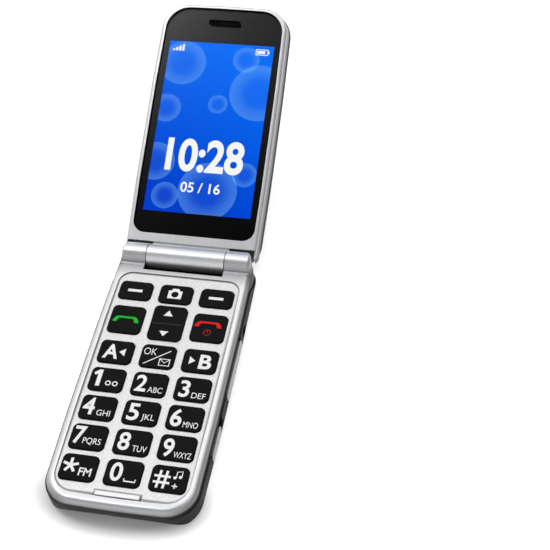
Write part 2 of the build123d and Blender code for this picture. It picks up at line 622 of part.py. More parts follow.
def centre_barrel():
    """The lid's barrel, carried up to the lid's back by a straight web on its outer side."""
    reach = hypot(AXIS_Y - KNUCKLE_CORNER_Y, KNUCKLE_BACK_Z - AXIS_Z)
    lean = acos_deg(BARREL_RADIUS / reach)
    corner_angle = atan_deg(KNUCKLE_BACK_Z - AXIS_Z, KNUCKLE_CORNER_Y - AXIS_Y)
    touch = radians(corner_angle - lean)
    web = Polyline(
        (AXIS_Y + BARREL_RADIUS * cos(touch), AXIS_Z + BARREL_RADIUS * sin(touch)),
        (KNUCKLE_CORNER_Y, KNUCKLE_BACK_Z),
        (NOTCH_Y, KNUCKLE_BACK_Z),
        (NOTCH_Y, LID_FACE_Z + 0.8),
        (AXIS_Y, LID_FACE_Z + 0.8),
        (AXIS_Y, AXIS_Z),
        close=True,
    )
    profile = make_face(web) + Pos(AXIS_Y, AXIS_Z) * Circle(BARREL_RADIUS)
    barrel = extrude(Plane.YZ.offset(-CENTRE_BARREL_HALF) * profile, 2 * CENTRE_BARREL_HALF)
    corner = barrel.edges().filter_by(Axis.X)
    corner = corner.filter_by(lambda e: e.center().Z > KNUCKLE_BACK_Z - 0.1 and e.center().Y > NOTCH_Y + 1)
    return fillet(corner, 1.0)


def acos_deg(value):
    """Angle in degrees whose cosine is the value."""
    return Vector(value, sqrt(1 - value**2), 0).get_angle(Vector(1, 0, 0))


def atan_deg(rise, run):
    """Angle in degrees of a slope, from +Y."""
    return Vector(run, rise, 0).get_angle(Vector(1, 0, 0))


def make_lid_frame():
    """Silver inner case of the lid with its hinge barrel and the ears beside the base's barrels."""
    outline = Pos(0, 0, LID_FACE_Z) * lid_plan(EAR_END_Y, 2.5, LID_FACE_INSET)
    frame = extrude(outline, LID_SPLIT_Z - LID_FACE_Z, taper=-LID_FLARE)
    frame = fillet(edges_at(frame, LID_FACE_Z), 1.3)
    frame -= block((-EAR_INNER_X, EAR_INNER_X), (LID_FRAME_END_Y, 60), (0, 30))
    cavity = lid_plan(LID_FRAME_END_Y, 1.0, inset=WALL)
    frame -= slab(cavity, (LID_LEDGE_TOP_Z, LID_SPLIT_Z))
    frame -= slab(lens_plan(grow=-1.2), (MASK_Z[1], LID_LEDGE_TOP_Z))
    frame -= slab(lens_plan(grow=FIT_GAP), (LID_FACE_Z - 1, MASK_Z[1]))
    frame += centre_barrel()
    for x, y in LID_SCREWS:
        toward_wall = (y, LID_FRAME_END_Y - 1) if y > 0 else (-56.0, y)
        column = post(1.9, x, y, (LID_LEDGE_TOP_Z, LID_SPLIT_Z))
        column += block((x - 0.6, x + 0.6), toward_wall, (LID_LEDGE_TOP_Z, LID_SPLIT_Z - 0.5))
        frame += mirrored(column)
        frame -= mirrored(post(SCREW_RADIUS + 0.1, x, y, (10, 20)))
        frame -= mirrored(post(SCREW_HEAD_RADIUS + 0.1, x, y, (10, LID_LEDGE_TOP_Z + 0.7)))
    frame -= rod(HEAD_RADIUS + 0.02, (HEAD_X[0] - 0.2, 20))
    frame -= rod(PIVOT_NECK_RADIUS + 0.05, (-20, -5.0))
    return frame - block((-12.3, -5.5), (NOTCH_Y - 2, 50.4), (15.3, 16.1)) - block((-12.3, -5.5), (50.0, 50.8), (11, 16.1))


def make_lid_cover():
    """Dark outer case of the lid, with shoulders that reach over the base's barrels."""
    end_y = AXIS_Y - 0.7
    cover = slab(lid_plan(end_y - COVER_BULGE, 8.5, inset=-COVER_BULGE), (SHOULDER_UNDER_Z, LID_BACK_Z))
    cover = fillet(edges_at(cover, LID_BACK_Z), COVER_EDGE_RADIUS)
    # shoulders end on a slope that meets the base's end when the lid is open
    slope = tan(radians(180 - OPEN_ANGLE))
    foot_y = end_y - (LID_BACK_Z - 10.0) * slope
    wedge = make_face(Polyline((end_y, LID_BACK_Z), (foot_y, 10.0), (70, 10.0), (70, LID_BACK_Z), close=True))
    cover -= extrude(Plane.YZ.offset(-40) * wedge, 80)
    cover -= block((-40, 40), (-70, LID_FRAME_END_Y + 0.1), (0, LID_SPLIT_Z))
    cover -= mirrored(block((EAR_INNER_X - 0.1, 40), (40, 60), (0, LID_SPLIT_Z)))
    notch = CENTRE_BARREL_HALF + 0.2
    cover -= block((-notch, notch), (NOTCH_Y - 0.05, 60), (0, 30))
    cavity = slab(lid_plan(NOTCH_Y - 0.2, 2.0, inset=WALL), (LID_SPLIT_Z - 1, LID_BACK_Z - COVER_SKIN))
    cover -= cavity
    for x, y in LID_SCREWS:
        cover += mirrored(post(1.9, x, y, (LID_SPLIT_Z, LID_BACK_Z - COVER_SKIN + 0.1)))
        cover -= mirrored(post(SCREW_RADIUS + 0.02, x, y, (10, LID_BACK_Z - COVER_SKIN)))
    # camera seat, indicator windows and trim groove
    cover -= post(CAMERA_WINDOW_RADIUS + FIT_GAP, CAMERA_X, CAMERA_Y, (LID_BACK_Z - 0.8, 30))
    cover -= post(3.2, CAMERA_X, CAMERA_Y, (10, 30))
    for y in INDICATOR_YS:
        width, height = INDICATOR_SIZE
        cover -= slab(pad(width + 0.1, height + 0.1, height / 2, INDICATOR_X, y), (10, 30))
    return cover - slab(pad(STRIP_SIZE[0] + 0.1, STRIP_SIZE[1] + 0.1, 0.7, 0, STRIP_Y), (LID_BACK_Z - 0.6, 30))


def make_screen_lens():
    """Clear acrylic window with the listening slot."""
    lens = slab(lens_plan(), LENS_Z)
    return lens - slab(pad(*SOUND_SLOT, 0.9, 0, SOUND_SLOT_Y), (10, 20))


def make_lens_mask():
    """Black print film behind the window, open over the screen and the slot."""
    mask = slab(lens_plan(), MASK_Z)
    screen_mid = sum(SCREEN_Y) / 2
    mask -= slab(Pos(0, screen_mid) * Rectangle(2 * SCREEN_HALF_WIDTH, SCREEN_Y[1] - SCREEN_Y[0]), (10, 20))
    return mask - slab(pad(*SOUND_SLOT, 0.9, 0, SOUND_SLOT_Y), (10, 20))


def make_lcd_module():
    """Screen in its steel tray, with the driver ledge towards the hinge."""
    tray = block((-23.2, 23.2), (SCREEN_Y[0] - 1.6, SCREEN_Y[1] + 3.2), (13.0, 14.8))
    glass_y = (SCREEN_Y[0] - 0.4, SCREEN_Y[1] + 0.4)
    return tray + block((-SCREEN_HALF_WIDTH - 0.4, SCREEN_HALF_WIDTH + 0.4), glass_y, (12.85, 13.1))


def make_lid_board():
    """Circuit board behind the screen."""
    board = block((-20.5, 20.5), (-52.5, 37.5), (15.6, 16.4))
    for x, y in LID_SCREWS:
        board -= mirrored(post(2.1, x, y, (0, 30)))
        board -= mirrored(block((x - 0.8, x + 0.8), (y, 60) if y > 0 else (-60, y), (0, 30)))
    return board


def make_earpiece():
    """Receiver capsule with its dust mesh just under the slot."""
    capsule = slab(pad(15.0, 7.6, 1.5, 0, SOUND_SLOT_Y), (13.0, 15.4))
    return capsule + slab(pad(SOUND_SLOT[0] - 0.3, SOUND_SLOT[1] - 0.3, 0.8, 0, SOUND_SLOT_Y), (12.3, 13.1))


def make_camera_module():
    """Camera block on the lid's board with its lens barrel."""
    module = block((CAMERA_X - 3.0, CAMERA_X + 3.0), (CAMERA_Y - 3.0, CAMERA_Y + 3.0), (16.4, 18.4))
    module += post(2.4, CAMERA_X, CAMERA_Y, (18.3, 19.9))
    lens = Pos(CAMERA_X, CAMERA_Y, 18.0) * Sphere(2.1) & post(1.3, CAMERA_X, CAMERA_Y, (18.0, 22))
    return module + lens


def make_camera_window():
    """Round window over the camera, edge rounded and a little proud."""
    window = post(CAMERA_WINDOW_RADIUS, CAMERA_X, CAMERA_Y, (LID_BACK_Z - 0.8, LID_BACK_Z + 0.15))
    return fillet(window.faces().sort_by(Axis.Z)[-1].edges(), 0.3)


def make_indicator_windows():
    """Two light pipes, one for calls and one for messages."""
    width, height = INDICATOR_SIZE
    pipes = []
    for y in INDICATOR_YS:
        pipe = slab(pad(width, height, height / 2 - 0.05, INDICATOR_X, y), (17.6, LID_BACK_Z - 0.05))
        pipe += slab(pad(width + 1, height + 0.6, height / 2, INDICATOR_X, y), (17.6, 18.6))
        pipes.append(pipe)
    return Compound(children=pipes)


def make_trim_strip():
    """Bright bar let into the lid's back."""
    return slab(pad(*STRIP_SIZE, 0.7, 0, STRIP_Y), (LID_BACK_Z - 0.6, LID_BACK_Z + 0.1))


def make_lid_magnet():
    """Magnet that tells the base the lid is shut."""
    return post(2.0, 11.5, -45.2, (13.5, 15.2))


def make_display_flex():
    """Flat flex from the lid's board, rolled inside the barrel."""
    run = block((-12.0, -6.0), (36.0, 50.7), (15.45, 15.6)) + block((-12.0, -6.0), (50.55, 50.7), (11.2, 15.6))
    roll = rod(1.9, (-12.0, -6.0)) - rod(1.2, (-13, -5))
    return run + roll


def make_lid_screws():
    """Four screws under the window, into the cover's bosses."""
    screws = []
    for x, y in LID_SCREWS:
        screw = post(SCREW_HEAD_RADIUS, x, y, (MASK_Z[1] + 0.1, LID_LEDGE_TOP_Z + 0.6))
        screw += post(SCREW_RADIUS, x, y, (LID_LEDGE_TOP_Z + 0.5, 19.0))
        screws += [screw, mirror(screw, about=Plane.YZ)]
    return Compound(children=screws)


# ---------------------------------------------------------------- assembly
BASE_NODES = {
    "base_frame": make_base_frame,
    "keypad_plate": make_keypad_plate,
    "closing_stop": make_closing_stop,
    "rear_case": make_rear_case,
    "battery_cover": make_battery_cover,
    "battery": lambda: fillet(block((-BATTERY_HALF_WIDTH, BATTERY_HALF_WIDTH), BATTERY_Y, BATTERY_Z).edges()
                              .filter_by(Axis.Y), 0.8),
    "main_board": make_main_board,
    "board_parts": make_board_parts,
    "dome_sheet": make_dome_sheet,
    "keypad_web": make_keypad_web,
    "headphone_jack": make_headphone_jack,
    "usb_port": make_usb_port,
    "loudspeaker": make_loudspeaker,
    "vibration_motor": make_vibration_motor,
    "charging_contacts": make_charging_contacts,
    "torch_window": make_torch_window,
    "base_screws": make_base_screws,
    "hinge_can": make_hinge_can,
    "hinge_spring": make_hinge_spring,
    "hinge_follower": make_hinge_follower,
    "pivot_tube": make_pivot_tube,
    "volume_rocker": make_volume_rocker,
    "torch_slider": make_torch_slider,
    "motor_weight": make_motor_weight,
}
LID_NODES = {
    "lid_frame": make_lid_frame,
    "lid_cover": make_lid_cover,
    "screen_lens": make_screen_lens,
    "lens_mask": make_lens_mask,
    "lcd_module": make_lcd_module,
    "lid_board": make_lid_board,
    "earpiece": make_earpiece,
    "camera_module": make_camera_module,
    "camera_window": make_camera_window,
    "indicator_windows": make_indicator_windows,
    "trim_strip": make_trim_strip,
    "lid_magnet": make_lid_magnet,
    "display_flex": make_display_flex,
    "lid_screws": make_lid_screws,
    "hinge_cam": make_hinge_cam,
}


def main():
    """Builds every node and writes it to its own file."""
    os.makedirs("parts", exist_ok=True)
    for name, make in BASE_NODES.items():
        export_step(make(), f"parts/{name}.step")
    for name in KEYS:
        export_step(make_key(name), f"parts/{name}.step")
    for name, make in LID_NODES.items():
        export_step(make().rotate(HINGE_AXIS, -OPEN_ANGLE), f"parts/{name}.step")


main()
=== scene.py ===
import math

import bmesh
import bpy
from mathutils import Matrix, Vector


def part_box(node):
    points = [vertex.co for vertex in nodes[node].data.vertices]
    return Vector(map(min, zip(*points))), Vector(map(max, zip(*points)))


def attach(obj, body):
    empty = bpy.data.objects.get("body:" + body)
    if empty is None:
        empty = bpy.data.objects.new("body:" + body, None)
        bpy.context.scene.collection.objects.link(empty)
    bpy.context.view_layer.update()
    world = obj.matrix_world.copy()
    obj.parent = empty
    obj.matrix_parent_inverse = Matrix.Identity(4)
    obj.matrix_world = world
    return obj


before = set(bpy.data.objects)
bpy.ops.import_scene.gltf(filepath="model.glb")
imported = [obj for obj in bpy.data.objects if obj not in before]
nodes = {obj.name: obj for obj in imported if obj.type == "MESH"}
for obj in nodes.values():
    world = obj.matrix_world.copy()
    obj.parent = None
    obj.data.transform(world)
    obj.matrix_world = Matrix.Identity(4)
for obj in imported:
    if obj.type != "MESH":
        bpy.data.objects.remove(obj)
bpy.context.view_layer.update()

scene = bpy.context.scene


# ---------------------------------------------------------------- studio camera
# A full-frame camera with a long lens stands in front and a little to the right. It looks down along the
# base, at the open lid rising away behind the hinge.
camera_data = bpy.data.cameras.new("studio_camera")
camera_data.sensor_width = 36.0
camera_data.lens = 71.565
camera_data.shift_x = 0.0131
camera_data.shift_y = 0.0037
camera_data.clip_start = 0.01
camera_data.clip_end = 20.0
camera = bpy.data.objects.new("studio_camera", camera_data)
camera.location = (0.10017, -0.20825, 0.33105)
camera.rotation_euler = [math.radians(angle) for angle in (39.312, 3.740, 10.230)]
scene.collection.objects.link(camera)
scene.camera = camera


# ---------------------------------------------------------------- table
# The phone lies on a seamless sheet of white laminate. Its own white shows to the camera and in
# reflections, and the light that falls on it leaves the phone's shadow. Round the mouth end its own glow
# is taken out, a painted shadow that darkens the table there.
def linear(hex_colour):
    """sRGB hex to the linear colour that shaders take."""
    channels = [int(hex_colour[i:i + 2], 16) / 255 for i in (1, 3, 5)]
    return (*[c / 12.92 if c <= 0.04045 else ((c + 0.055) / 1.055) ** 2.4 for c in channels], 1.0)


def add_node(tree, kind, settings=None, **inputs):
    """Adds a node. Settings are a dictionary, or the name of an operation. Each input is a value, a socket to
    link from, or a node, which stands for its first output. A name's underscores stand for spaces, and a
    name such as _1 is the input's number."""
    node = tree.nodes.new(kind)
    if isinstance(settings, str):
        settings = {"operation": settings}
    for name, value in (settings or {}).items():
        setattr(node, name, value)
    for name, value in inputs.items():
        socket = node.inputs[int(name[1:])] if name[1:].isdigit() else node.inputs[name.replace("_", " ")]
        if isinstance(value, bpy.types.Node):
            value = value.outputs[0]
        if isinstance(value, bpy.types.NodeSocket):
            tree.links.new(value, socket)
        else:
            socket.default_value = value
    return node


def start_material(name):
    """An empty node material, its tree, and the place on the object in metres."""
    material = bpy.data.materials.new(name)
    material.use_nodes = True
    tree = material.node_tree
    tree.nodes.clear()
    return material, tree, add_node(tree, "ShaderNodeTexCoord").outputs["Object"]


def finish_material(tree, shader):
    """Joins a shader to the material's output."""
    add_node(tree, "ShaderNodeOutputMaterial", Surface=shader)


TABLE_REACH = 3.0
PAINTED_SHADOW_MIDDLE = (-0.003, -0.047, 0)       # painted shadow: the table's own glow is taken out round the phone's mouth end
PAINTED_SHADOW_SPREAD = (0.037, 0.0165, 1)
PAINTED_SHADOW_GLOW, TABLE_GLOW = 0.02, 0.62
MIRRORED_GLOW = 0.12                     # how bright the table is when seen in, or through, the phone
table_mesh = bpy.data.meshes.new("table")
corners = [(x * TABLE_REACH, y * TABLE_REACH, 0) for x, y in ((-1, -1), (1, -1), (1, 1), (-1, 1))]
table_mesh.from_pydata(corners, [], [(0, 1, 2, 3)])
table = bpy.data.objects.new("table", table_mesh)
scene.collection.objects.link(table)
material, tree, place = start_material("white_laminate")
away = add_node(tree, "ShaderNodeVectorMath", "SUBTRACT", _0=place, _1=PAINTED_SHADOW_MIDDLE)
away = add_node(tree, "ShaderNodeVectorMath", "DIVIDE", _0=away, _1=PAINTED_SHADOW_SPREAD)
away = add_node(tree, "ShaderNodeVectorMath", "LENGTH", _0=away).outputs["Value"]
# painted shadow: the glow seen by the camera fades out round the mouth end
glow_with_painted_shadow = add_node(tree, "ShaderNodeMapRange", {"interpolation_type": "SMOOTHSTEP"}, Value=away,
                     From_Min=0.60, From_Max=1.05, To_Min=PAINTED_SHADOW_GLOW, To_Max=TABLE_GLOW)
seen = add_node(tree, "ShaderNodeLightPath")
glow = add_node(tree, "ShaderNodeMath", "MULTIPLY", _0=seen.outputs["Is Camera Ray"], _1=glow_with_painted_shadow)
for way in ("Is Glossy Ray", "Is Transmission Ray"):
    glow = add_node(tree, "ShaderNodeMath", "MULTIPLY_ADD", _0=seen.outputs[way], _1=MIRRORED_GLOW, _2=glow)
lit = add_node(tree, "ShaderNodeBsdfDiffuse", Color=linear("#F2F2F2"))
white = add_node(tree, "ShaderNodeEmission", Color=linear("#FFFFFF"), Strength=glow)
finish_material(tree, add_node(tree, "ShaderNodeAddShader", _0=lit, _1=white))
table_mesh.materials.append(material)


# ---------------------------------------------------------------- studio light
# A pale room with soft boxes and dark flags, all worked out in the world. Each is a soft spot given by the
# level direction of its middle, its spread, and how bright it is against paper white.
studio_spots = {
    "back_wall": ((-0.25, 0.55), (0.55, 0.24), 0.66),
    "back_box": ((0.24, 0.52), (0.16, 0.22), 1.15),
    "key_box": ((-0.36, 0.12), (0.075, 0.085), 8.4),
    "key_strip": ((-0.28, 0.33), (0.18, 0.10), 1.05),
    "front_card": ((-0.20, -0.93), (0.45, 0.20), 0.62),
    "left_card": ((-0.72, 0.42), (0.14, 0.30), 0.45),
    "overhead_flag": ((-0.19, -0.20), (0.17, 0.10), -0.42),
    "right_flag": ((0.88, 0.40), (0.20, 0.40), -0.38),
}
ROOM_LEVEL = 0.46
DARKEST_LEVEL = 0.02
world = bpy.data.worlds.new("studio")
scene.world = world
world.use_nodes = True
tree = world.node_tree
tree.nodes.clear()
direction = add_node(tree, "ShaderNodeTexCoord").outputs["Generated"]
level = add_node(tree, "ShaderNodeVectorMath", "MULTIPLY", _0=direction, _1=(1, 1, 0))
light = ROOM_LEVEL
for name, (middle, spread, strength) in studio_spots.items():
    away = add_node(tree, "ShaderNodeVectorMath", {"operation": "SUBTRACT", "label": name},
                    _0=level, _1=(*middle, 0))
    away = add_node(tree, "ShaderNodeVectorMath", "DIVIDE", _0=away, _1=(*spread, 1))
    square = add_node(tree, "ShaderNodeVectorMath", "DOT_PRODUCT", _0=away, _1=away).outputs["Value"]
    half = add_node(tree, "ShaderNodeMath", "MULTIPLY", _0=square, _1=-0.5)
    spot = add_node(tree, "ShaderNodeMath", "EXPONENT", _0=half)
    light = add_node(tree, "ShaderNodeMath", "MULTIPLY_ADD", _0=spot, _1=strength, _2=light)
light = add_node(tree, "ShaderNodeMath", "MAXIMUM", _0=light, _1=DARKEST_LEVEL)
seen = add_node(tree, "ShaderNodeLightPath").outputs["Is Camera Ray"]
room = add_node(tree, "ShaderNodeBackground", Color=linear("#FFFFFF"), Strength=light)
white = add_node(tree, "ShaderNodeBackground", Color=linear("#FFFFFF"), Strength=1.0)
mix = add_node(tree, "ShaderNodeMixShader", Fac=seen, _1=room, _2=white)
add_node(tree, "ShaderNodeOutputWorld", Surface=mix)


# ---------------------------------------------------------------- rear case and battery cover
# Charcoal ABS, moulded in a spark-eroded tool, so the skin is an even fine grit that greys the light. The
# real grit is about 0.1 mm, too fine to show, so it is drawn coarser.
MM = 0.001
HANDLED_MM = 9          # patches that hands have polished


def dress(material, *names):
    """Gives a material to CAD nodes."""
    for name in names:
        slots = nodes[name].data.materials
        slots.clear()
        slots.append(material)


def moulded(name, hex_colour, roughness, grit_mm, depth_mm, specular=0.5, patch=0.04):
    """Coloured plastic with a skin of fine grit. Handling has changed its roughness, up and down by patch."""
    material, tree, place = start_material(name)
    grit = add_node(tree, "ShaderNodeTexNoise", Vector=place, Scale=1 / (grit_mm * MM), Detail=2.0,
                    Roughness=0.6)
    handled = add_node(tree, "ShaderNodeTexNoise", Vector=place, Scale=1 / (HANDLED_MM * MM), Detail=3.0)
    bump = add_node(tree, "ShaderNodeBump", Strength=0.35, Distance=depth_mm * MM, Height=grit)
    rough = add_node(tree, "ShaderNodeMapRange", Value=handled, From_Min=0.35, From_Max=0.65,
                     To_Min=roughness - patch, To_Max=roughness + patch)
    tone = add_node(tree, "ShaderNodeMapRange", Value=grit, From_Min=0.3, From_Max=0.7,
                    To_Min=0.88, To_Max=1.12)
    colour = add_node(tree, "ShaderNodeVectorMath", "SCALE", _0=linear(hex_colour)[:3], Scale=tone)
    finish_material(tree, add_node(tree, "ShaderNodeBsdfPrincipled", Base_Color=colour, Roughness=rough,
                                   Specular_IOR_Level=specular, Normal=bump))
    return material


dress(moulded("spark_eroded_charcoal_abs", "#171719", 0.50, 0.30, 0.02, specular=0.30),
      "rear_case", "battery_cover")


# ---------------------------------------------------------------- silver frames, rocker and slider
# ABS sprayed with silver lacquer: aluminium flake under a thin satin coat. The flake is drawn coarser than
# it is, so that it shows as a faint sparkle. Painted shade darkens the skirts down to the parting lines, the
# nook in front of the hinge barrels, the mouth end, the flanks, the lid's skirt and the buttons in their
# slots.
HINGE_Y, HINGE_Z = 52.3, 9.8
OPEN_TURN = math.radians(-154.4)
WAVE_LENGTH = 0.314     # a wave texture of scale 1 repeats after this length


def lid_place(tree, place):
    """Across, along from the hinge and height with the lid shut, in mm: as one node, and parted in three."""
    place = add_node(tree, "ShaderNodeVectorMath", "SUBTRACT", _0=place, _1=(0, HINGE_Y * MM, HINGE_Z * MM))
    place = add_node(tree, "ShaderNodeVectorRotate", {"rotation_type": "X_AXIS"},
                     Vector=place, Angle=-OPEN_TURN)
    place = add_node(tree, "ShaderNodeVectorMath", "MULTIPLY", _0=place, _1=(1 / MM, -1 / MM, 1 / MM))
    place = add_node(tree, "ShaderNodeVectorMath", "ADD", _0=place, _1=(0, 0, HINGE_Z))
    return place, add_node(tree, "ShaderNodeSeparateXYZ", Vector=place)


def base_place(tree, place):
    """Place on the base in mm: as one node, and parted in three."""
    place = add_node(tree, "ShaderNodeVectorMath", "SCALE", _0=place, Scale=1 / MM)
    return place, add_node(tree, "ShaderNodeSeparateXYZ", Vector=place)


def lacquered(name, hex_colour, flake_mm, metallic, roughness, coat,
              place_of=base_place, thin=(), ribs_mm=None):
    """Flake lacquer: each flake has its own tone and tilt, under a smoother coat. Each entry in thin is
    painted
    shade: an axis and two places on it, between which the colour goes to the given part of its tone."""
    material, tree, place = start_material(name)
    place, parts = place_of(tree, place)
    flake = add_node(tree, "ShaderNodeTexVoronoi", Vector=place, Scale=1 / flake_mm)
    tilt = add_node(tree, "ShaderNodeBump", Strength=0.05, Distance=0.02 * MM,
                    Height=flake.outputs["Distance"])
    tone = add_node(tree, "ShaderNodeSeparateXYZ", Vector=flake.outputs["Color"])
    tone = add_node(tree, "ShaderNodeMapRange", Value=tone, To_Min=0.93, To_Max=1.06)
    # painted shade: each entry scales the colour between two places on one axis
    for axis, start, end, share in thin:
        painted_band = add_node(tree, "ShaderNodeMapRange", Value=parts.outputs[axis], From_Min=start, From_Max=end,
                         To_Min=1.0, To_Max=share)
        tone = add_node(tree, "ShaderNodeMath", "MULTIPLY", _0=tone, _1=painted_band)
    if ribs_mm:
        ribs = add_node(tree, "ShaderNodeTexWave", {"bands_direction": "Y"}, Vector=place,
                        Scale=WAVE_LENGTH / ribs_mm).outputs["Fac"]
        ribs = add_node(tree, "ShaderNodeMapRange", Value=ribs, To_Min=0.72, To_Max=1.1)
        tone = add_node(tree, "ShaderNodeMath", "MULTIPLY", _0=tone, _1=ribs)
    colour = add_node(tree, "ShaderNodeVectorMath", "SCALE", _0=linear(hex_colour)[:3], Scale=tone)
    wear = add_node(tree, "ShaderNodeTexNoise", Vector=place, Scale=1 / HANDLED_MM, Detail=1.0)
    rough = add_node(tree, "ShaderNodeMapRange", Value=wear, From_Min=0.35, From_Max=0.65,
                     To_Min=roughness - 0.012, To_Max=roughness + 0.012)
    finish_material(tree, add_node(tree, "ShaderNodeBsdfPrincipled", Base_Color=colour, Metallic=metallic,
                                   Roughness=rough, Normal=tilt, Coat_Weight=coat, Coat_Roughness=0.15))
    return material


SILVER = "#DADBDD"
base_painted_shade = [
    ("Z", 10.6, 9.0, 0.27),                                     # painted shade on the skirt below the rim
    ("Z", 9.6, 9.0, 0.12),                                      # painted shade, darker still, at the parting line under it
    ("Y", 51.2, 47.5, 0.42), ("Y", 46.7, 40.0, 2.38),           # painted shade in the nook in front of the hinge barrels
    ("Y", -49.0, -52.5, 0.8),                                   # painted shade on the mouth end
    ("X", -26.3, -27.4, 0.62), ("X", 26.6, 27.5, 0.8),          # painted shade on the flanks
]
lid_painted_shade = [("Z", 12.0, 14.5, 0.45)]                            # painted shade on the skirt behind the lid's face
button_painted_shade = [("X", 27.70, 27.57, 0.10)]                       # painted shade on the parts inside the wall's slots
dress(lacquered("silver_flake_lacquer", SILVER, 0.22, 0.85, 0.36, 0.1, thin=base_painted_shade), "base_frame")
dress(lacquered("silver_flake_lacquer_side", "#DCDDDF", 0.22, 0.60, 0.36, 0.1, thin=button_painted_shade, ribs_mm=0.9),
      "volume_rocker", "torch_slider")
dress(lacquered("silver_flake_lacquer_lid", SILVER, 0.22, 0.85, 0.36, 0.1, lid_place, thin=lid_painted_shade),
      "lid_frame")


# ---------------------------------------------------------------- keypad plate and closing stop
# Pale metallic plate under the keys, finer and whiter than the frames. Its edge is rolled down into the
# frame, and the low bar that the lid closes on is let into its mouth end. Painted shade darkens a band
# along the plate's edge, the bar's notch and the bar's front edge.
PLATE_HALF = (23.7, 47.0)
PLATE_MIDDLE_Y = -4.5
PLATE_CORNERS = (7.5, 5.0)      # at the mouth end and at the hinge
BAR_NOTCH = (8.4, -49.5)        # half width and inner end of the notch that holds the bar
BAR_FRONT_PAINTED_SHADE = (-51.7, -51.9)      # painted shade on the bar's front edge, where it rolls down


def plate_edge(tree, place, parts):
    """How far a point lies outside the plate's outline, in mm, and negative inside it."""
    at_mouth = add_node(tree, "ShaderNodeMath", "LESS_THAN", _0=parts.outputs["Y"], _1=0.0)
    corner = add_node(tree, "ShaderNodeMapRange", Value=at_mouth,
                      To_Min=PLATE_CORNERS[1], To_Max=PLATE_CORNERS[0])
    away = add_node(tree, "ShaderNodeVectorMath", "MULTIPLY", _0=place, _1=(1, 1, 0))
    away = add_node(tree, "ShaderNodeVectorMath", "SUBTRACT", _0=away, _1=(0, PLATE_MIDDLE_Y, 0))
    away = add_node(tree, "ShaderNodeVectorMath", "ABSOLUTE", _0=away)
    away = add_node(tree, "ShaderNodeVectorMath", "ADD", _0=away, _1=corner)
    away = add_node(tree, "ShaderNodeVectorMath", "SUBTRACT", _0=away, _1=(*PLATE_HALF, max(PLATE_CORNERS)))
    away = add_node(tree, "ShaderNodeVectorMath", "MAXIMUM", _0=away, _1=(0, 0, 0))
    away = add_node(tree, "ShaderNodeVectorMath", "LENGTH", _0=away).outputs["Value"]
    return add_node(tree, "ShaderNodeMath", "SUBTRACT", _0=away, _1=corner)


def plate_with_painted_edge_shade(name, hex_colour, fleck_mm):
    """Fine metallic lacquer with painted shade along the plate's edge, where it rolls under, and in the bar's
    notch.
    """
    material, tree, place = start_material(name)
    place, parts = base_place(tree, place)
    fleck = add_node(tree, "ShaderNodeTexVoronoi", Vector=place, Scale=1 / fleck_mm)
    tone = add_node(tree, "ShaderNodeSeparateXYZ", Vector=fleck.outputs["Color"])
    tone = add_node(tree, "ShaderNodeMapRange", Value=tone, To_Min=0.86, To_Max=1.06)
    # painted shade: a band just inside the plate's outline goes down to 0.36 of the tone
    edge = add_node(tree, "ShaderNodeMapRange", Value=plate_edge(tree, place, parts), From_Min=-0.75,
                    From_Max=-0.25, To_Min=1.0, To_Max=0.36)
    # painted shade in the bar's notch
    side = add_node(tree, "ShaderNodeMath", "ABSOLUTE", _0=parts.outputs["X"])
    side = add_node(tree, "ShaderNodeMath", "SUBTRACT", _0=side, _1=BAR_NOTCH[0])
    end = add_node(tree, "ShaderNodeMath", "SUBTRACT", _0=parts.outputs["Y"], _1=BAR_NOTCH[1])
    notch = add_node(tree, "ShaderNodeMath", "MAXIMUM", _0=side, _1=end)
    notch = add_node(tree, "ShaderNodeMapRange", Value=notch, From_Min=-0.1, From_Max=0.1,
                     To_Min=0.4, To_Max=1.0)
    for shade in (edge, notch):
        tone = add_node(tree, "ShaderNodeMath", "MULTIPLY", _0=tone, _1=shade)
    colour = add_node(tree, "ShaderNodeVectorMath", "SCALE", _0=linear(hex_colour)[:3], Scale=tone)
    rough = add_node(tree, "ShaderNodeMapRange", Value=fleck.outputs["Distance"], To_Min=0.38, To_Max=0.46)
    finish_material(tree, add_node(tree, "ShaderNodeBsdfPrincipled", Base_Color=colour, Metallic=0.3,
                                   Roughness=rough))
    return material


dress(plate_with_painted_edge_shade("pearl_lacquered_plate", "#ECECED", 0.30), "keypad_plate")
dress(lacquered("pearl_lacquered_bar", "#E4E4E6", 0.30, 0.5, 0.35, 0.0, thin=[("Y", *BAR_FRONT_PAINTED_SHADE, 0.3)]),
      "closing_stop")


# ---------------------------------------------------------------- keys
# Matt black polycarbonate caps, moulded in an etched tool. Their skin is fine and dull, and their edges
# are crisp.
key_names = [name for name in nodes if name.endswith("_key")]
dress(moulded("etched_black_polycarbonate", "#0A0A0B", 0.50, 0.25, 0.012, specular=0.08), *key_names)


# ---------------------------------------------------------------- white key legends
# Screen-printed ink, a few hundredths of a millimetre thick, laid on the crown of each cap. Figures and
# letters are set from the key's centre, in millimetres.
def ink(name, hex_colour):
    """Opaque printing ink: nearly matt, with slight unevenness in the laid film."""
    material, tree, place = start_material(name)
    film = add_node(tree, "ShaderNodeTexNoise", Vector=place, Scale=1 / (0.4 * MM), Detail=2.0)
    tone = add_node(tree, "ShaderNodeMapRange", Value=film, To_Min=0.94, To_Max=1.04)
    colour = add_node(tree, "ShaderNodeVectorMath", "SCALE", _0=linear(hex_colour)[:3], Scale=tone)
    bump = add_node(tree, "ShaderNodeBump", Strength=0.2, Distance=0.005 * MM, Height=film)
    finish_material(tree, add_node(tree, "ShaderNodeBsdfPrincipled", Base_Color=colour, Roughness=0.45,
                                   Specular_IOR_Level=0.15, Normal=bump))
    return material


white_ink = ink("white_screen_ink", "#FFFFFE")
INK_THICKNESS = 0.03
CAPITAL_SHARE = 0.73        # a capital's height in the built-in face, as a part of its size


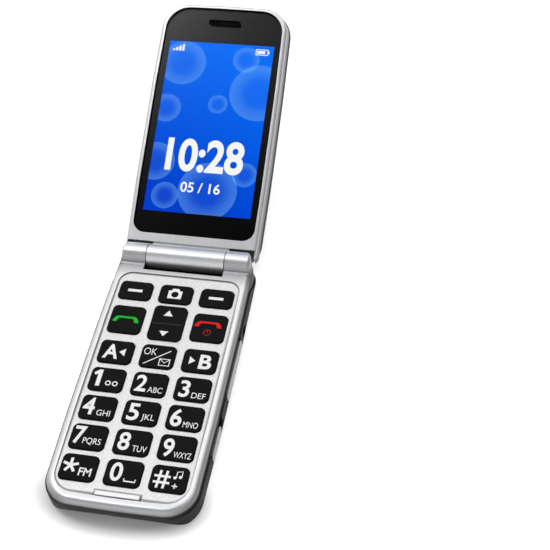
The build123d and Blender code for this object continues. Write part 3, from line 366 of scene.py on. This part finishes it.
def letter_mesh(words, cap_height, weight, stretch=1.0):
    """Words as a thin solid, left edge and baseline at the origin, with strokes thickened by weight."""
    curve = bpy.data.curves.new("lettering", "FONT")
    curve.body = words
    curve.size = cap_height / CAPITAL_SHARE
    curve.offset = weight
    curve.extrude = INK_THICKNESS / 2
    curve.resolution_u = 6
    return solid_from(curve, stretch)


def shape_mesh(*loops):
    """Closed outlines as a thin solid; an outline inside another is a hole."""
    curve = bpy.data.curves.new("outline", "CURVE")
    curve.dimensions = "2D"
    curve.fill_mode = "BOTH"
    curve.extrude = INK_THICKNESS / 2
    for loop in loops:
        spline = curve.splines.new("POLY")
        spline.points.add(len(loop) - 1)
        for point, (x, y) in zip(spline.points, loop):
            point.co = (x, y, 0, 1)
        spline.use_cyclic_u = True
    return solid_from(curve)


def solid_from(curve, stretch=None):
    """Turns a curve into a mesh; lettering is moved so that it starts at x = 0 and stretched in width."""
    shape = bpy.data.objects.new("shape", curve)
    scene.collection.objects.link(shape)
    bpy.context.view_layer.update()
    mesh = bpy.data.meshes.new_from_object(shape.evaluated_get(bpy.context.evaluated_depsgraph_get()))
    bpy.data.objects.remove(shape)
    bpy.data.curves.remove(curve)
    if stretch:
        left = min(vertex.co.x for vertex in mesh.vertices)
        low = min(vertex.co.y for vertex in mesh.vertices)
        mesh.transform(Matrix.Diagonal((stretch, 1, 1, 1)) @ Matrix.Translation((-left, -low, 0)))
    return mesh


def width_of(mesh):
    """Width of a legend mesh."""
    return max(vertex.co.x for vertex in mesh.vertices)


def oblong(x0, y0, x1, y1):
    """Corners of an upright rectangle."""
    return [(x0, y0), (x1, y0), (x1, y1), (x0, y1)]


def disc(x, y, radius, count=28):
    """Points of a circle."""
    return [(x + radius * math.cos(math.tau * i / count), y + radius * math.sin(math.tau * i / count))
            for i in range(count)]


def ribbon(points, width):
    """Outline of a stroke of even width along points, square at its ends."""
    left, right = [], []
    for i, (x, y) in enumerate(points):
        x0, y0 = points[max(i - 1, 0)]
        x1, y1 = points[min(i + 1, len(points) - 1)]
        length = math.hypot(x1 - x0, y1 - y0)
        nx, ny = -(y1 - y0) / length * width / 2, (x1 - x0) / length * width / 2
        left.append((x + nx, y + ny))
        right.append((x - nx, y - ny))
    return left + right[::-1]


def lay(name, meshes, material, body, place):
    """Joins legend meshes, each with its own x and y, into one piece. place takes each point to the object,
    and where two meshes cross, the later lies on the earlier."""
    built = bmesh.new()
    for number, (mesh, (x, y)) in enumerate(meshes):
        mesh.transform(Matrix.Translation((x, y, number * INK_THICKNESS / 8)))
        built.from_mesh(mesh)
        bpy.data.meshes.remove(mesh)
    for vertex in built.verts:
        vertex.co = place(vertex.co)
    legend = bpy.data.meshes.new(name)
    built.to_mesh(legend)
    built.free()
    legend.materials.append(material)
    piece = bpy.data.objects.new(name, legend)
    scene.collection.objects.link(piece)
    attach(piece, body)


def print_on(name, node, meshes, material):
    """Lays legend meshes, given round the node's middle in mm, on its upper face, to ride with it."""
    low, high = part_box(node)
    middle = (Vector(low) + Vector(high)) / 2

    def on_cap(point):
        x, y = middle.x + point.x * MM, middle.y + point.y * MM
        found, hit, _, _ = nodes[node].ray_cast(Vector((x, y, high[2] + MM)), Vector((0, 0, -1)))
        return x, y, (hit.z if found else high[2]) + (point.z + INK_THICKNESS / 4) * MM

    lay(name, meshes, material, node, on_cap)


FIGURE_HEIGHT = 6.9
FIGURE_WEIGHT = 0.21
LETTER_HEIGHT = 2.45


def fit_width(mesh, width):
    """Stretches lettering to a width."""
    mesh.transform(Matrix.Diagonal((width / width_of(mesh), 1, 1, 1)))
    return mesh


def numeral(figure, width):
    """A key's large figure."""
    return fit_width(letter_mesh(figure, FIGURE_HEIGHT, FIGURE_WEIGHT), width)


def small_letters(words, width, right, foot, height=LETTER_HEIGHT, weight=0.0):
    """The small letters at a key's lower right, of the given width and ending at right."""
    return fit_width(letter_mesh(words, height, weight), width), (right - width, foot)


figure_one = shape_mesh([(1.55, 0), (3.05, 0), (3.05, FIGURE_HEIGHT), (1.75, FIGURE_HEIGHT), (0, 5.5),
                         (0.55, 4.45), (1.55, 5.15)])
tape_rings = [(shape_mesh(disc(0, 0, 1.05), disc(0, 0, 0.62)), (x, -1.55)) for x in (0.8, 3.35)]
print_on("digit_1_legend", "digit_1_key", [(figure_one, (-5.2, -3.15)), *tape_rings], white_ink)

# a figure with its width, left side and foot, then its letters with their width and right side
for figure, width, left, foot, words, words_width, right in (
        ("2", 4.1, -5.0, -3.4, "ABC", 5.3, 5.2), ("3", 3.7, -4.6, -3.7, "DEF", 5.0, 5.2),
        ("4", 4.3, -5.3, -3.2, "GHI", 4.9, 5.0), ("5", 4.2, -4.8, -3.5, "JKL", 4.7, 5.2),
        ("6", 4.1, -5.0, -3.8, "MNO", 5.3, 5.2), ("7", 4.1, -5.2, -3.2, "PQRS", 6.4, 4.9),
        ("8", 4.1, -4.9, -3.5, "TUV", 5.1, 5.6), ("9", 3.8, -4.8, -3.9, "WXYZ", 6.1, 5.5)):
    legend = [(numeral(figure, width), (left, foot)), small_letters(words, words_width, right, foot)]
    print_on(f"digit_{figure}_legend", f"digit_{figure}_key", legend, white_ink)

space_mark = shape_mesh(ribbon([(0, 1.3), (0, 0.3), (3.9, 0.3), (3.9, 1.3)], 0.5))
print_on("digit_0_legend", "digit_0_key",
         [(numeral("0", 4.2), (-4.5, -3.4)), (space_mark, (0.8, -3.3))], white_ink)

STAR_REACH, STAR_MIDDLE = 2.8, (-2.85, 0.4)
arm_turns = [math.radians(72 * number) for number in range(5)]
star_arms = [(shape_mesh(ribbon([(0, 0), (STAR_REACH * math.sin(turn), STAR_REACH * math.cos(turn))], 1.0)),
              STAR_MIDDLE) for turn in arm_turns]
print_on("star_legend", "star_key",
         star_arms + [small_letters("FM", 4.4, 4.9, -3.1, height=3.1, weight=0.07)], white_ink)

hash_lines = [[(x - 0.25, 0), (x + 0.25, 6.6)] for x in (1.75, 3.95)]
hash_lines += [[(0, y), (5.6, y)] for y in (2.15, 4.45)]
hash_sign = [(shape_mesh(ribbon(line, 0.85)), (-5.1, -3.8)) for line in hash_lines]
note_parts = (disc(0.55, 0.5, 0.55, 16), disc(2.35, 0.9, 0.55, 16),
              ribbon([(1.0, 0.5), (1.0, 2.7), (2.8, 3.1), (2.8, 0.9)], 0.35))
note = [(shape_mesh(part), (1.4, 0.1)) for part in note_parts]
plus_lines = ([(-0.9, 0), (0.9, 0)], [(0, -0.9), (0, 0.9)])
plus = [(shape_mesh(ribbon(line, 0.45)), (2.5, -2.5)) for line in plus_lines]
print_on("hash_legend", "hash_key", hash_sign + note + plus, white_ink)


# ---------------------------------------------------------------- soft keys, camera key, arrows
# The keys under the hinge carry plain signs: a dash each side, a camera between them, and an arrow on each
# half of the two-way key. Two lines of black ink mark the fold between the halves: a painted shade in its
# groove, and a painted highlight, a lighter black, on the lip beside it.
for name in ("soft_left", "soft_right"):
    dash = shape_mesh(ribbon([(-2.8, 0), (2.8, 0)], 1.2))
    print_on(f"{name}_legend", f"{name}_key", [(dash, (-0.1, -0.2))], white_ink)
camera_body = [(-2.65, -2.1), (2.65, -2.1), (2.65, 1.6), (1.7, 1.6), (1.1, 2.6), (-1.1, 2.6), (-1.7, 1.6),
               (-2.65, 1.6)]
camera_sign = shape_mesh(camera_body, disc(0, -0.15, 1.4))
print_on("camera_legend", "camera_key", [(camera_sign, (-0.3, -0.1))], white_ink)


def sliced(mesh, step):
    """Cuts a mesh into strips across y, so that it can follow a dished key."""
    built = bmesh.new()
    built.from_mesh(mesh)
    cut = min(vertex.co.y for vertex in mesh.vertices) + step
    while cut < max(vertex.co.y for vertex in mesh.vertices):
        bmesh.ops.bisect_plane(built, geom=built.verts[:] + built.edges[:] + built.faces[:],
                               plane_co=(0, cut, 0), plane_no=(0, 1, 0))
        cut += step
    built.to_mesh(mesh)
    built.free()
    return mesh


STRIP = 0.4
arrow_up = sliced(shape_mesh([(-1.75, 0), (1.75, 0), (0, 2.45)]), STRIP)
arrow_down = sliced(shape_mesh([(-1.75, 2.4), (1.75, 2.4), (0, 0)]), STRIP)
print_on("navigation_legend", "navigation_key",
         [(arrow_up, (-0.55, 3.2)), (arrow_down, (-0.4, -6.2))], white_ink)
# painted shade in the fold's groove, and a painted highlight on its lip
for name, along, width, tone in (("painted_groove_shade", 0.05, 0.6, "#010101"), ("lip", -0.4, 0.3, "#303032")):
    line = shape_mesh(ribbon([(-6.0, 0), (6.0, 0)], width))
    print_on(f"navigation_{name}", "navigation_key", [(line, (0, along))], ink(f"black_{name}_ink", tone))


# ---------------------------------------------------------------- call and end keys
# A green handset takes a call and a red one ends it, with a small power sign below. They are the same
# screen-printed ink in other colours.
def handset_mesh(width, height):
    """A handset seen from the side, in one outline: a straight grip whose two ends turn down into cups."""
    half = [(0.62, 1.0), (0.74, 0.85), (0.90, 0.15), (0.98, -0.55), (1.0, -1.0), (0.68, -1.0), (0.64, -0.4),
            (0.55, 0.2), (0.48, 0.32)]
    outline = half + [(-x, y) for x, y in half[::-1]]
    return shape_mesh([(x * width / 2, y * height / 2) for x, y in outline])


green_ink = ink("green_screen_ink", "#00C42A")
print_on("call_legend", "call_key", [(handset_mesh(10.0, 2.6), (-0.1, -0.1))], green_ink)
power_sign = [shape_mesh(disc(0, 0, 1.4), disc(0, 0, 1.15)), shape_mesh(ribbon([(0, -0.1), (0, 0.85)], 0.35))]
red_ink = ink("red_screen_ink", "#F00810")
print_on("end_legend", "end_key", [(handset_mesh(10.2, 2.5), (-0.4, 1.4))], red_ink)
dark_red_ink = ink("dark_red_screen_ink", "#B8141A")
print_on("power_legend", "end_key", [(mesh, (-0.2, -2.2)) for mesh in power_sign], dark_red_ink)


# ---------------------------------------------------------------- memory keys and centre key
# A and B dial a stored number each, and point at the key between them, which confirms or opens a message.
# All three are printed in the same white ink as the figures.
letter_a = fit_width(letter_mesh("A", 6.2, 0.22), 5.7)
pointer_left = shape_mesh([(2.2, -1.7), (2.2, 1.7), (0, 0)])
print_on("memory_a_legend", "memory_a_key",
         [(letter_a, (-4.5, -3.2)), (pointer_left, (1.35, 0.0))], white_ink)
letter_b = fit_width(letter_mesh("B", 6.1, 0.24), 4.6)
pointer_right = shape_mesh([(0, -1.7), (0, 1.7), (2.2, 0)])
print_on("memory_b_legend", "memory_b_key",
         [(letter_b, (-0.2, -3.4)), (pointer_right, (-3.9, -0.2))], white_ink)
ok_letters = fit_width(letter_mesh("OK", 3.1, -0.02), 4.8)
slash = shape_mesh(ribbon([(-4.6, -3.8), (4.5, 2.8)], 0.36))
envelope = [shape_mesh(oblong(0, 0, 4.1, 3.1), oblong(0.3, 0.3, 3.8, 2.8)),
            shape_mesh(ribbon([(0.2, 2.9), (2.05, 1.3), (3.9, 2.9)], 0.3))]
ok_legend = [(ok_letters, (-5.4, 0.3)), (slash, (0, 0))] + [(mesh, (0.95, -3.95)) for mesh in envelope]
print_on("ok_legend", "ok_key", ok_legend, white_ink)


# ---------------------------------------------------------------- lid's window and its print
# The window is clear cast acrylic, sawn to shape and glued into the lid's frame. Behind it a gloss black
# print film frames the screen and leaves the listening slot open.
ACRYLIC_IOR = 1.49
COATED_SHARE = 0.15         # what the coat leaves of the acrylic's mirroring


def window_material(name, roughness):
    """Clear sheet with a coat that takes most of the mirroring off its polished face. Its sawn edge is
    painted black, a painted shade for the dark gap round the window, so that the frame round it can't be seen
    through it."""
    material, tree, place = start_material(name)
    plane = add_node(tree, "ShaderNodeNewGeometry").outputs["True Normal"]
    own = add_node(tree, "ShaderNodeVectorTransform",
                   {"vector_type": "NORMAL", "convert_from": "WORLD", "convert_to": "OBJECT"}, Vector=plane)
    # painted shade: faces that stand across the lid's plane, the sawn edge, are mixed to black below
    faces = add_node(tree, "ShaderNodeVectorMath", "DOT_PRODUCT", _0=own,
                     _1=(0, -math.sin(OPEN_TURN), math.cos(OPEN_TURN))).outputs["Value"]
    faces = add_node(tree, "ShaderNodeMath", "ABSOLUTE", _0=faces)
    edge = add_node(tree, "ShaderNodeMath", "LESS_THAN", _0=faces, _1=0.5)
    wipe = add_node(tree, "ShaderNodeTexNoise", Vector=place, Scale=1 / (14 * MM), Detail=4.0)
    rough = add_node(tree, "ShaderNodeMapRange", Value=wipe, From_Min=0.35, From_Max=0.7,
                     To_Min=roughness, To_Max=roughness + 0.05)
    share = add_node(tree, "ShaderNodeFresnel", IOR=ACRYLIC_IOR, Normal=plane)
    share = add_node(tree, "ShaderNodeMath", "MULTIPLY", _0=share, _1=COATED_SHARE)
    clear = add_node(tree, "ShaderNodeBsdfTransparent", Color=linear("#FAFBFB"))
    mirror = add_node(tree, "ShaderNodeBsdfGlossy", Color=linear("#FFFFFF"), Roughness=rough, Normal=plane)
    sheet = add_node(tree, "ShaderNodeMixShader", Fac=share, _1=clear, _2=mirror)
    black = add_node(tree, "ShaderNodeBsdfDiffuse", Color=linear("#020202"))
    finish_material(tree, add_node(tree, "ShaderNodeMixShader", Fac=edge, _1=sheet, _2=black))
    return material


dress(window_material("polished_cast_acrylic", 0.02), "screen_lens")
black_print = moulded("gloss_black_printed_film", "#010102", 0.12, 0.15, 0.001, specular=0.37, patch=0.004)
dress(black_print, "lens_mask")


# ---------------------------------------------------------------- window's back print
# A second coat of the black print lies in the back of the window itself, and has the film's outline. It
# keeps the two sheets' touching faces out of sight.
PRINT_DEPTH = 0.03          # into the window
PRINT_THICKNESS = 0.02
SHUT_TO_OPEN = (Matrix.Translation((0, HINGE_Y * MM, HINGE_Z * MM)) @ Matrix.Rotation(OPEN_TURN, 4, "X")
                @ Matrix.Translation((0, -HINGE_Y * MM, -HINGE_Z * MM)))
outward = SHUT_TO_OPEN.to_3x3() @ Vector((0, 0, -1))
built = bmesh.new()
built.from_mesh(nodes["lens_mask"].data)
built.normal_update()
other_faces = [face for face in built.faces if face.normal.dot(outward) < 0.99]
bmesh.ops.delete(built, geom=other_faces, context="FACES")
for face in built.faces:
    face.smooth = False
bmesh.ops.translate(built, verts=built.verts, vec=outward * PRINT_DEPTH * MM)
print_mesh = bpy.data.meshes.new("window_print")
built.to_mesh(print_mesh)
built.free()
print_mesh.materials.append(black_print)
window_print = bpy.data.objects.new("window_print", print_mesh)
coat = window_print.modifiers.new("coat", "SOLIDIFY")
coat.thickness = PRINT_THICKNESS * MM
scene.collection.objects.link(window_print)
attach(window_print, "lid")


# ---------------------------------------------------------------- screen
# Liquid crystal panel in a folded steel tray. Its lit area shows a plain blue ground with soft bubbles of
# light, a clock and a row of signs; the tray round it is bare steel.
SCREEN_LOW, SCREEN_HIGH = 19.2, 92.5    # lengths along the lid from the hinge axis
PANEL_FACE_Z = 12.85                    # with the lid shut
bubbles = [(-15, 83, 9.5), (11, 86, 5.5), (18, 72, 12.0), (-19, 63, 6.0), (2, 66, 4.0), (3, 29, 12.0),
           (17, 37, 5.0), (-14, 26, 5.5), (-20, 40, 8.0)]      # across, along and radius
material, tree, place = start_material("lit_panel_in_steel_tray")
place, parts = lid_place(tree, place)
rise = add_node(tree, "ShaderNodeMapRange", Value=parts.outputs["Y"],
                From_Min=SCREEN_LOW, From_Max=SCREEN_HIGH)
slant = add_node(tree, "ShaderNodeMath", "MULTIPLY_ADD", _0=parts.outputs["X"], _1=0.006, _2=rise)
sky = add_node(tree, "ShaderNodeMix", {"data_type": "RGBA", "clamp_factor": True}, _0=slant,
               _6=linear("#0040D2"), _7=linear("#0070FF")).outputs[2]
flat = add_node(tree, "ShaderNodeVectorMath", "MULTIPLY", _0=place, _1=(1, 1, 0))
shine = 0.0
for across, along, radius in bubbles:
    away = add_node(tree, "ShaderNodeVectorMath", "DISTANCE", _0=flat, _1=(across, along, 0)).outputs["Value"]
    rim = add_node(tree, "ShaderNodeMapRange", {"interpolation_type": "SMOOTHSTEP"}, Value=away,
                   From_Min=radius * 0.35, From_Max=radius, To_Min=0.03, To_Max=0.26)
    inside = add_node(tree, "ShaderNodeMath", "LESS_THAN", _0=away, _1=radius)
    shine = add_node(tree, "ShaderNodeMath", "MULTIPLY_ADD", _0=rim, _1=inside, _2=shine)
picture = add_node(tree, "ShaderNodeMix", {"data_type": "RGBA"}, _0=shine,
                   _6=sky, _7=linear("#7CC8FF")).outputs[2]
lamp = add_node(tree, "ShaderNodeEmission", Color=picture, Strength=1.0)
facing = add_node(tree, "ShaderNodeMath", "LESS_THAN", _0=parts.outputs["Z"], _1=PANEL_FACE_Z + 0.05)
steel_grain = add_node(tree, "ShaderNodeTexNoise", Vector=place, Scale=0.8, Detail=4.0)
steel_rough = add_node(tree, "ShaderNodeMapRange", Value=steel_grain, To_Min=0.25, To_Max=0.45)
tray = add_node(tree, "ShaderNodeBsdfPrincipled", Base_Color=linear("#A9ABAD"), Metallic=1.0,
                Roughness=steel_rough)
finish_material(tree, add_node(tree, "ShaderNodeMixShader", Fac=facing, _1=tray, _2=lamp))
dress(material, "lcd_module")


def show_on_screen(name, meshes, material):
    """Lays meshes, given across and along from the hinge axis, just in front of the panel's face."""
    sign_z = PANEL_FACE_Z - 0.02
    lay(name, meshes, material, "lid",
        lambda point: SHUT_TO_OPEN @ (Vector((point.x, HINGE_Y - point.y, sign_z - point.z)) * MM))


def lit_sign(name, hex_colour):
    """Lit picture points, with the panel's fine dot grid in their brightness."""
    material, tree, place = start_material(name)
    dots = add_node(tree, "ShaderNodeTexNoise", Vector=place, Scale=1 / (0.3 * MM))
    level = add_node(tree, "ShaderNodeMapRange", Value=dots, To_Min=0.97, To_Max=1.03)
    finish_material(tree, add_node(tree, "ShaderNodeEmission", Color=linear(hex_colour), Strength=level))
    return material


white_light = lit_sign("white_picture_points", "#FFFFFF")
clock = letter_mesh("10:28", 13.5, 0.55, stretch=0.84)
show_on_screen("screen_clock", [(clock, (-width_of(clock) / 2, 36.5))], white_light)
date = letter_mesh("05 / 16", 4.2, 0.1)
show_on_screen("screen_date", [(date, (-width_of(date) / 2, 28.0))], white_light)
signal_bars = [(shape_mesh(oblong(0, 0, 0.9, 0.8 + 0.7 * i)), (-20.2 + 1.3 * i, 88.3)) for i in range(4)]
cell_parts = ((oblong(0, 0, 5.2, 2.6), oblong(0.35, 0.35, 4.85, 2.25)),
              (oblong(0.7, 0.7, 3.9, 1.9),), (oblong(5.2, 0.8, 5.7, 1.8),))
cell = [(shape_mesh(*loops), (14.4, 88.4)) for loops in cell_parts]
show_on_screen("screen_status", signal_bars + cell, white_light)


# ---------------------------------------------------------------- earpiece and loudspeaker
# Both sound capsules are faced with dust cloth, a fine black weave; the earpiece's shows behind the slot.
# The real threads lie about 0.1 mm apart, too fine to show, so they are drawn coarser.
def woven(name, hex_colour, pitch_mm):
    """Acoustic cloth: crossed black threads with a pin hole between each four."""
    material, tree, place = start_material(name)
    across, along = [add_node(tree, "ShaderNodeTexWave", {"bands_direction": way}, Vector=place,
                              Scale=WAVE_LENGTH / (pitch_mm * MM)).outputs["Fac"] for way in ("X", "Y")]
    holes = add_node(tree, "ShaderNodeMath", "MULTIPLY", _0=across, _1=along)
    tone = add_node(tree, "ShaderNodeMapRange", Value=holes, To_Min=0.4, To_Max=2.0)
    colour = add_node(tree, "ShaderNodeVectorMath", "SCALE", _0=linear(hex_colour)[:3], Scale=tone)
    bump = add_node(tree, "ShaderNodeBump", Strength=0.6, Distance=0.05 * MM, Height=holes)
    finish_material(tree, add_node(tree, "ShaderNodeBsdfPrincipled", Base_Color=colour, Roughness=0.7,
                                   Specular_IOR_Level=0.1, Normal=bump))
    return material


dress(woven("acoustic_cloth", "#040404", 0.35), "earpiece", "loudspeaker")


# ---------------------------------------------------------------- lid's cover
# Graphite lacquer over ABS: darker and finer than the frames, with a soft satin shine. A bright bar of
# anodised aluminium is let into it, and two small windows of smoked polycarbonate.
dress(lacquered("graphite_flake_lacquer", "#56585B", 0.16, 0.45, 0.42, 0.25), "lid_cover")
dress(lacquered("anodised_aluminium_bar", "#DFE0E2", 0.30, 0.90, 0.30, 0.0), "trim_strip")
dress(moulded("smoked_polycarbonate", "#0C0A09", 0.10, 0.6, 0.002, specular=0.6),
      "indicator_windows", "torch_window")


# ---------------------------------------------------------------- lid's camera and its light signs
# Round brown-black window over a small coated lens, which looks blue from most sides. Two signs are
# printed on the cover beside the small windows, in the keys' white ink.
CAMERA_MIDDLE = (-1.5, 18.7, 0)     # across, and along from the hinge axis
LENS_RADII = (0.9, 1.6)             # the blue lens, out to the black of its barrel
BARREL_RADII = (2.4, 2.6)           # the black barrel, out to the brown of the window
material, tree, place = start_material("coated_camera_window")
place, parts = lid_place(tree, place)
flat = add_node(tree, "ShaderNodeVectorMath", "MULTIPLY", _0=place, _1=(1, 1, 0))
away = add_node(tree, "ShaderNodeVectorMath", "DISTANCE", _0=flat, _1=CAMERA_MIDDLE).outputs["Value"]
past_lens = add_node(tree, "ShaderNodeMapRange", {"interpolation_type": "SMOOTHSTEP"}, Value=away,
                     From_Min=LENS_RADII[0], From_Max=LENS_RADII[1])
past_barrel = add_node(tree, "ShaderNodeMapRange", Value=away,
                       From_Min=BARREL_RADII[0], From_Max=BARREL_RADII[1])
colour = add_node(tree, "ShaderNodeMix", {"data_type": "RGBA"}, _0=past_lens,
                  _6=linear("#1E4FB4"), _7=linear("#05060A")).outputs[2]
colour = add_node(tree, "ShaderNodeMix", {"data_type": "RGBA"}, _0=past_barrel,
                  _6=colour, _7=linear("#17110E")).outputs[2]
finish_material(tree, add_node(tree, "ShaderNodeBsdfPrincipled", Base_Color=colour, Roughness=0.06, IOR=1.52,
                               Coat_Weight=0.6, Coat_Roughness=0.03))
dress(material, "camera_window")
dress(moulded("black_lens_barrel", "#0D0D0E", 0.35, 0.3, 0.004), "camera_module")
LID_BACK_Z = 21.0                   # the cover's outer face, with the lid shut


def print_on_lid(name, meshes, material):
    """Lays meshes, given in mm round the origin with the lid shut, on the lid's outer face."""
    lay(name, meshes, material, "lid",
        lambda point: SHUT_TO_OPEN @ (Vector((point.x, point.y, LID_BACK_Z + point.z)) * MM))


print_on_lid("call_light_sign", [(handset_mesh(2.8, 0.9), (2.6, 26.9))], white_ink)
small_envelope = [shape_mesh(oblong(-1.35, -1, 1.35, 1), oblong(-1.1, -0.75, 1.1, 0.75)),
                  shape_mesh(ribbon([(-1.25, 0.9), (0, -0.1), (1.25, 0.9)], 0.25))]
print_on_lid("message_light_sign", [(mesh, (2.6, 23.6)) for mesh in small_envelope], white_ink)


# ---------------------------------------------------------------- circuit boards
# Green solder mask over copper: the tracks lift it a little, and bare pads shine gold.
# Both boards are screwed down inside the shells.
def circuit_board(name, mask_hex, track_mm):
    """Solder mask with tracks running under it and rows of gold pads."""
    material, tree, place = start_material(name)
    tracks = add_node(tree, "ShaderNodeTexBrick", {"offset": 0.3}, Vector=place, Mortar_Size=0.06,
                      Scale=1 / (track_mm * 8 * MM), Color1=linear(mask_hex), Color2=linear("#0C5A2E"),
                      Mortar=linear("#2E8B4B"))
    pads = add_node(tree, "ShaderNodeTexVoronoi", Vector=place, Scale=1 / (3.2 * MM)).outputs["Distance"]
    pad = add_node(tree, "ShaderNodeMath", "LESS_THAN", _0=pads, _1=0.16)
    colour = add_node(tree, "ShaderNodeMix", {"data_type": "RGBA"}, _0=pad,
                      _6=tracks.outputs["Color"], _7=linear("#D9B45A")).outputs[2]
    bump = add_node(tree, "ShaderNodeBump", Strength=0.4, Distance=0.03 * MM, Height=tracks.outputs["Fac"])
    finish_material(tree, add_node(tree, "ShaderNodeBsdfPrincipled", Base_Color=colour, Metallic=pad,
                                   Roughness=0.35, Normal=bump))
    return material


dress(circuit_board("green_solder_mask", "#0A4A26", 0.25), "main_board", "lid_board")


# ---------------------------------------------------------------- steel, gold and other inner parts
# Stampings and turned pieces keep the marks of their making: rolled sheet on cans, fine rings on pins. The
# rest is moulded or wrapped: the keys' silicone web, the socket, the battery and the display's flex.
def rolled_metal(name, hex_colour, roughness, line_mm):
    """Bare metal with fine lines from rolling or turning."""
    material, tree, place = start_material(name)
    drawn = add_node(tree, "ShaderNodeMapping", Vector=place, Scale=(0.05, 1, 1))
    lines = add_node(tree, "ShaderNodeTexNoise", Vector=drawn, Scale=1 / (line_mm * MM), Detail=3.0)
    rough = add_node(tree, "ShaderNodeMapRange", Value=lines,
                     To_Min=roughness - 0.08, To_Max=roughness + 0.08)
    bump = add_node(tree, "ShaderNodeBump", Strength=0.15, Distance=0.01 * MM, Height=lines)
    finish_material(tree, add_node(tree, "ShaderNodeBsdfPrincipled", Base_Color=linear(hex_colour),
                                   Metallic=1.0, Roughness=rough, Normal=bump))
    return material


dress(rolled_metal("rolled_stainless_steel", "#B4B6B8", 0.32, 0.12), "usb_port", "board_parts", "hinge_can",
      "hinge_follower", "hinge_cam", "pivot_tube", "motor_weight", "vibration_motor", "dome_sheet")
dress(rolled_metal("drawn_spring_wire", "#8E9093", 0.28, 0.08), "hinge_spring")
dress(rolled_metal("blackened_screw_steel", "#3A3B3D", 0.36, 0.08), "base_screws", "lid_screws")
dress(rolled_metal("nickel_plated_magnet", "#C6C3BA", 0.25, 0.10), "lid_magnet")
dress(rolled_metal("gold_flashed_bronze", "#DDB763", 0.25, 0.08), "charging_contacts")
dress(moulded("grey_silicone", "#A8A9AA", 0.65, 0.4, 0.01, specular=0.3), "keypad_web")
dress(moulded("black_nylon", "#101011", 0.45, 0.3, 0.008), "headphone_jack")
dress(lacquered("wrapped_battery_can", "#9EA1A6", 0.4, 0.4, 0.40, 0.0), "battery")
dress(moulded("amber_polyimide_film", "#B4701E", 0.30, 0.6, 0.004), "display_flex")

scene.view_settings.view_transform = "Standard"
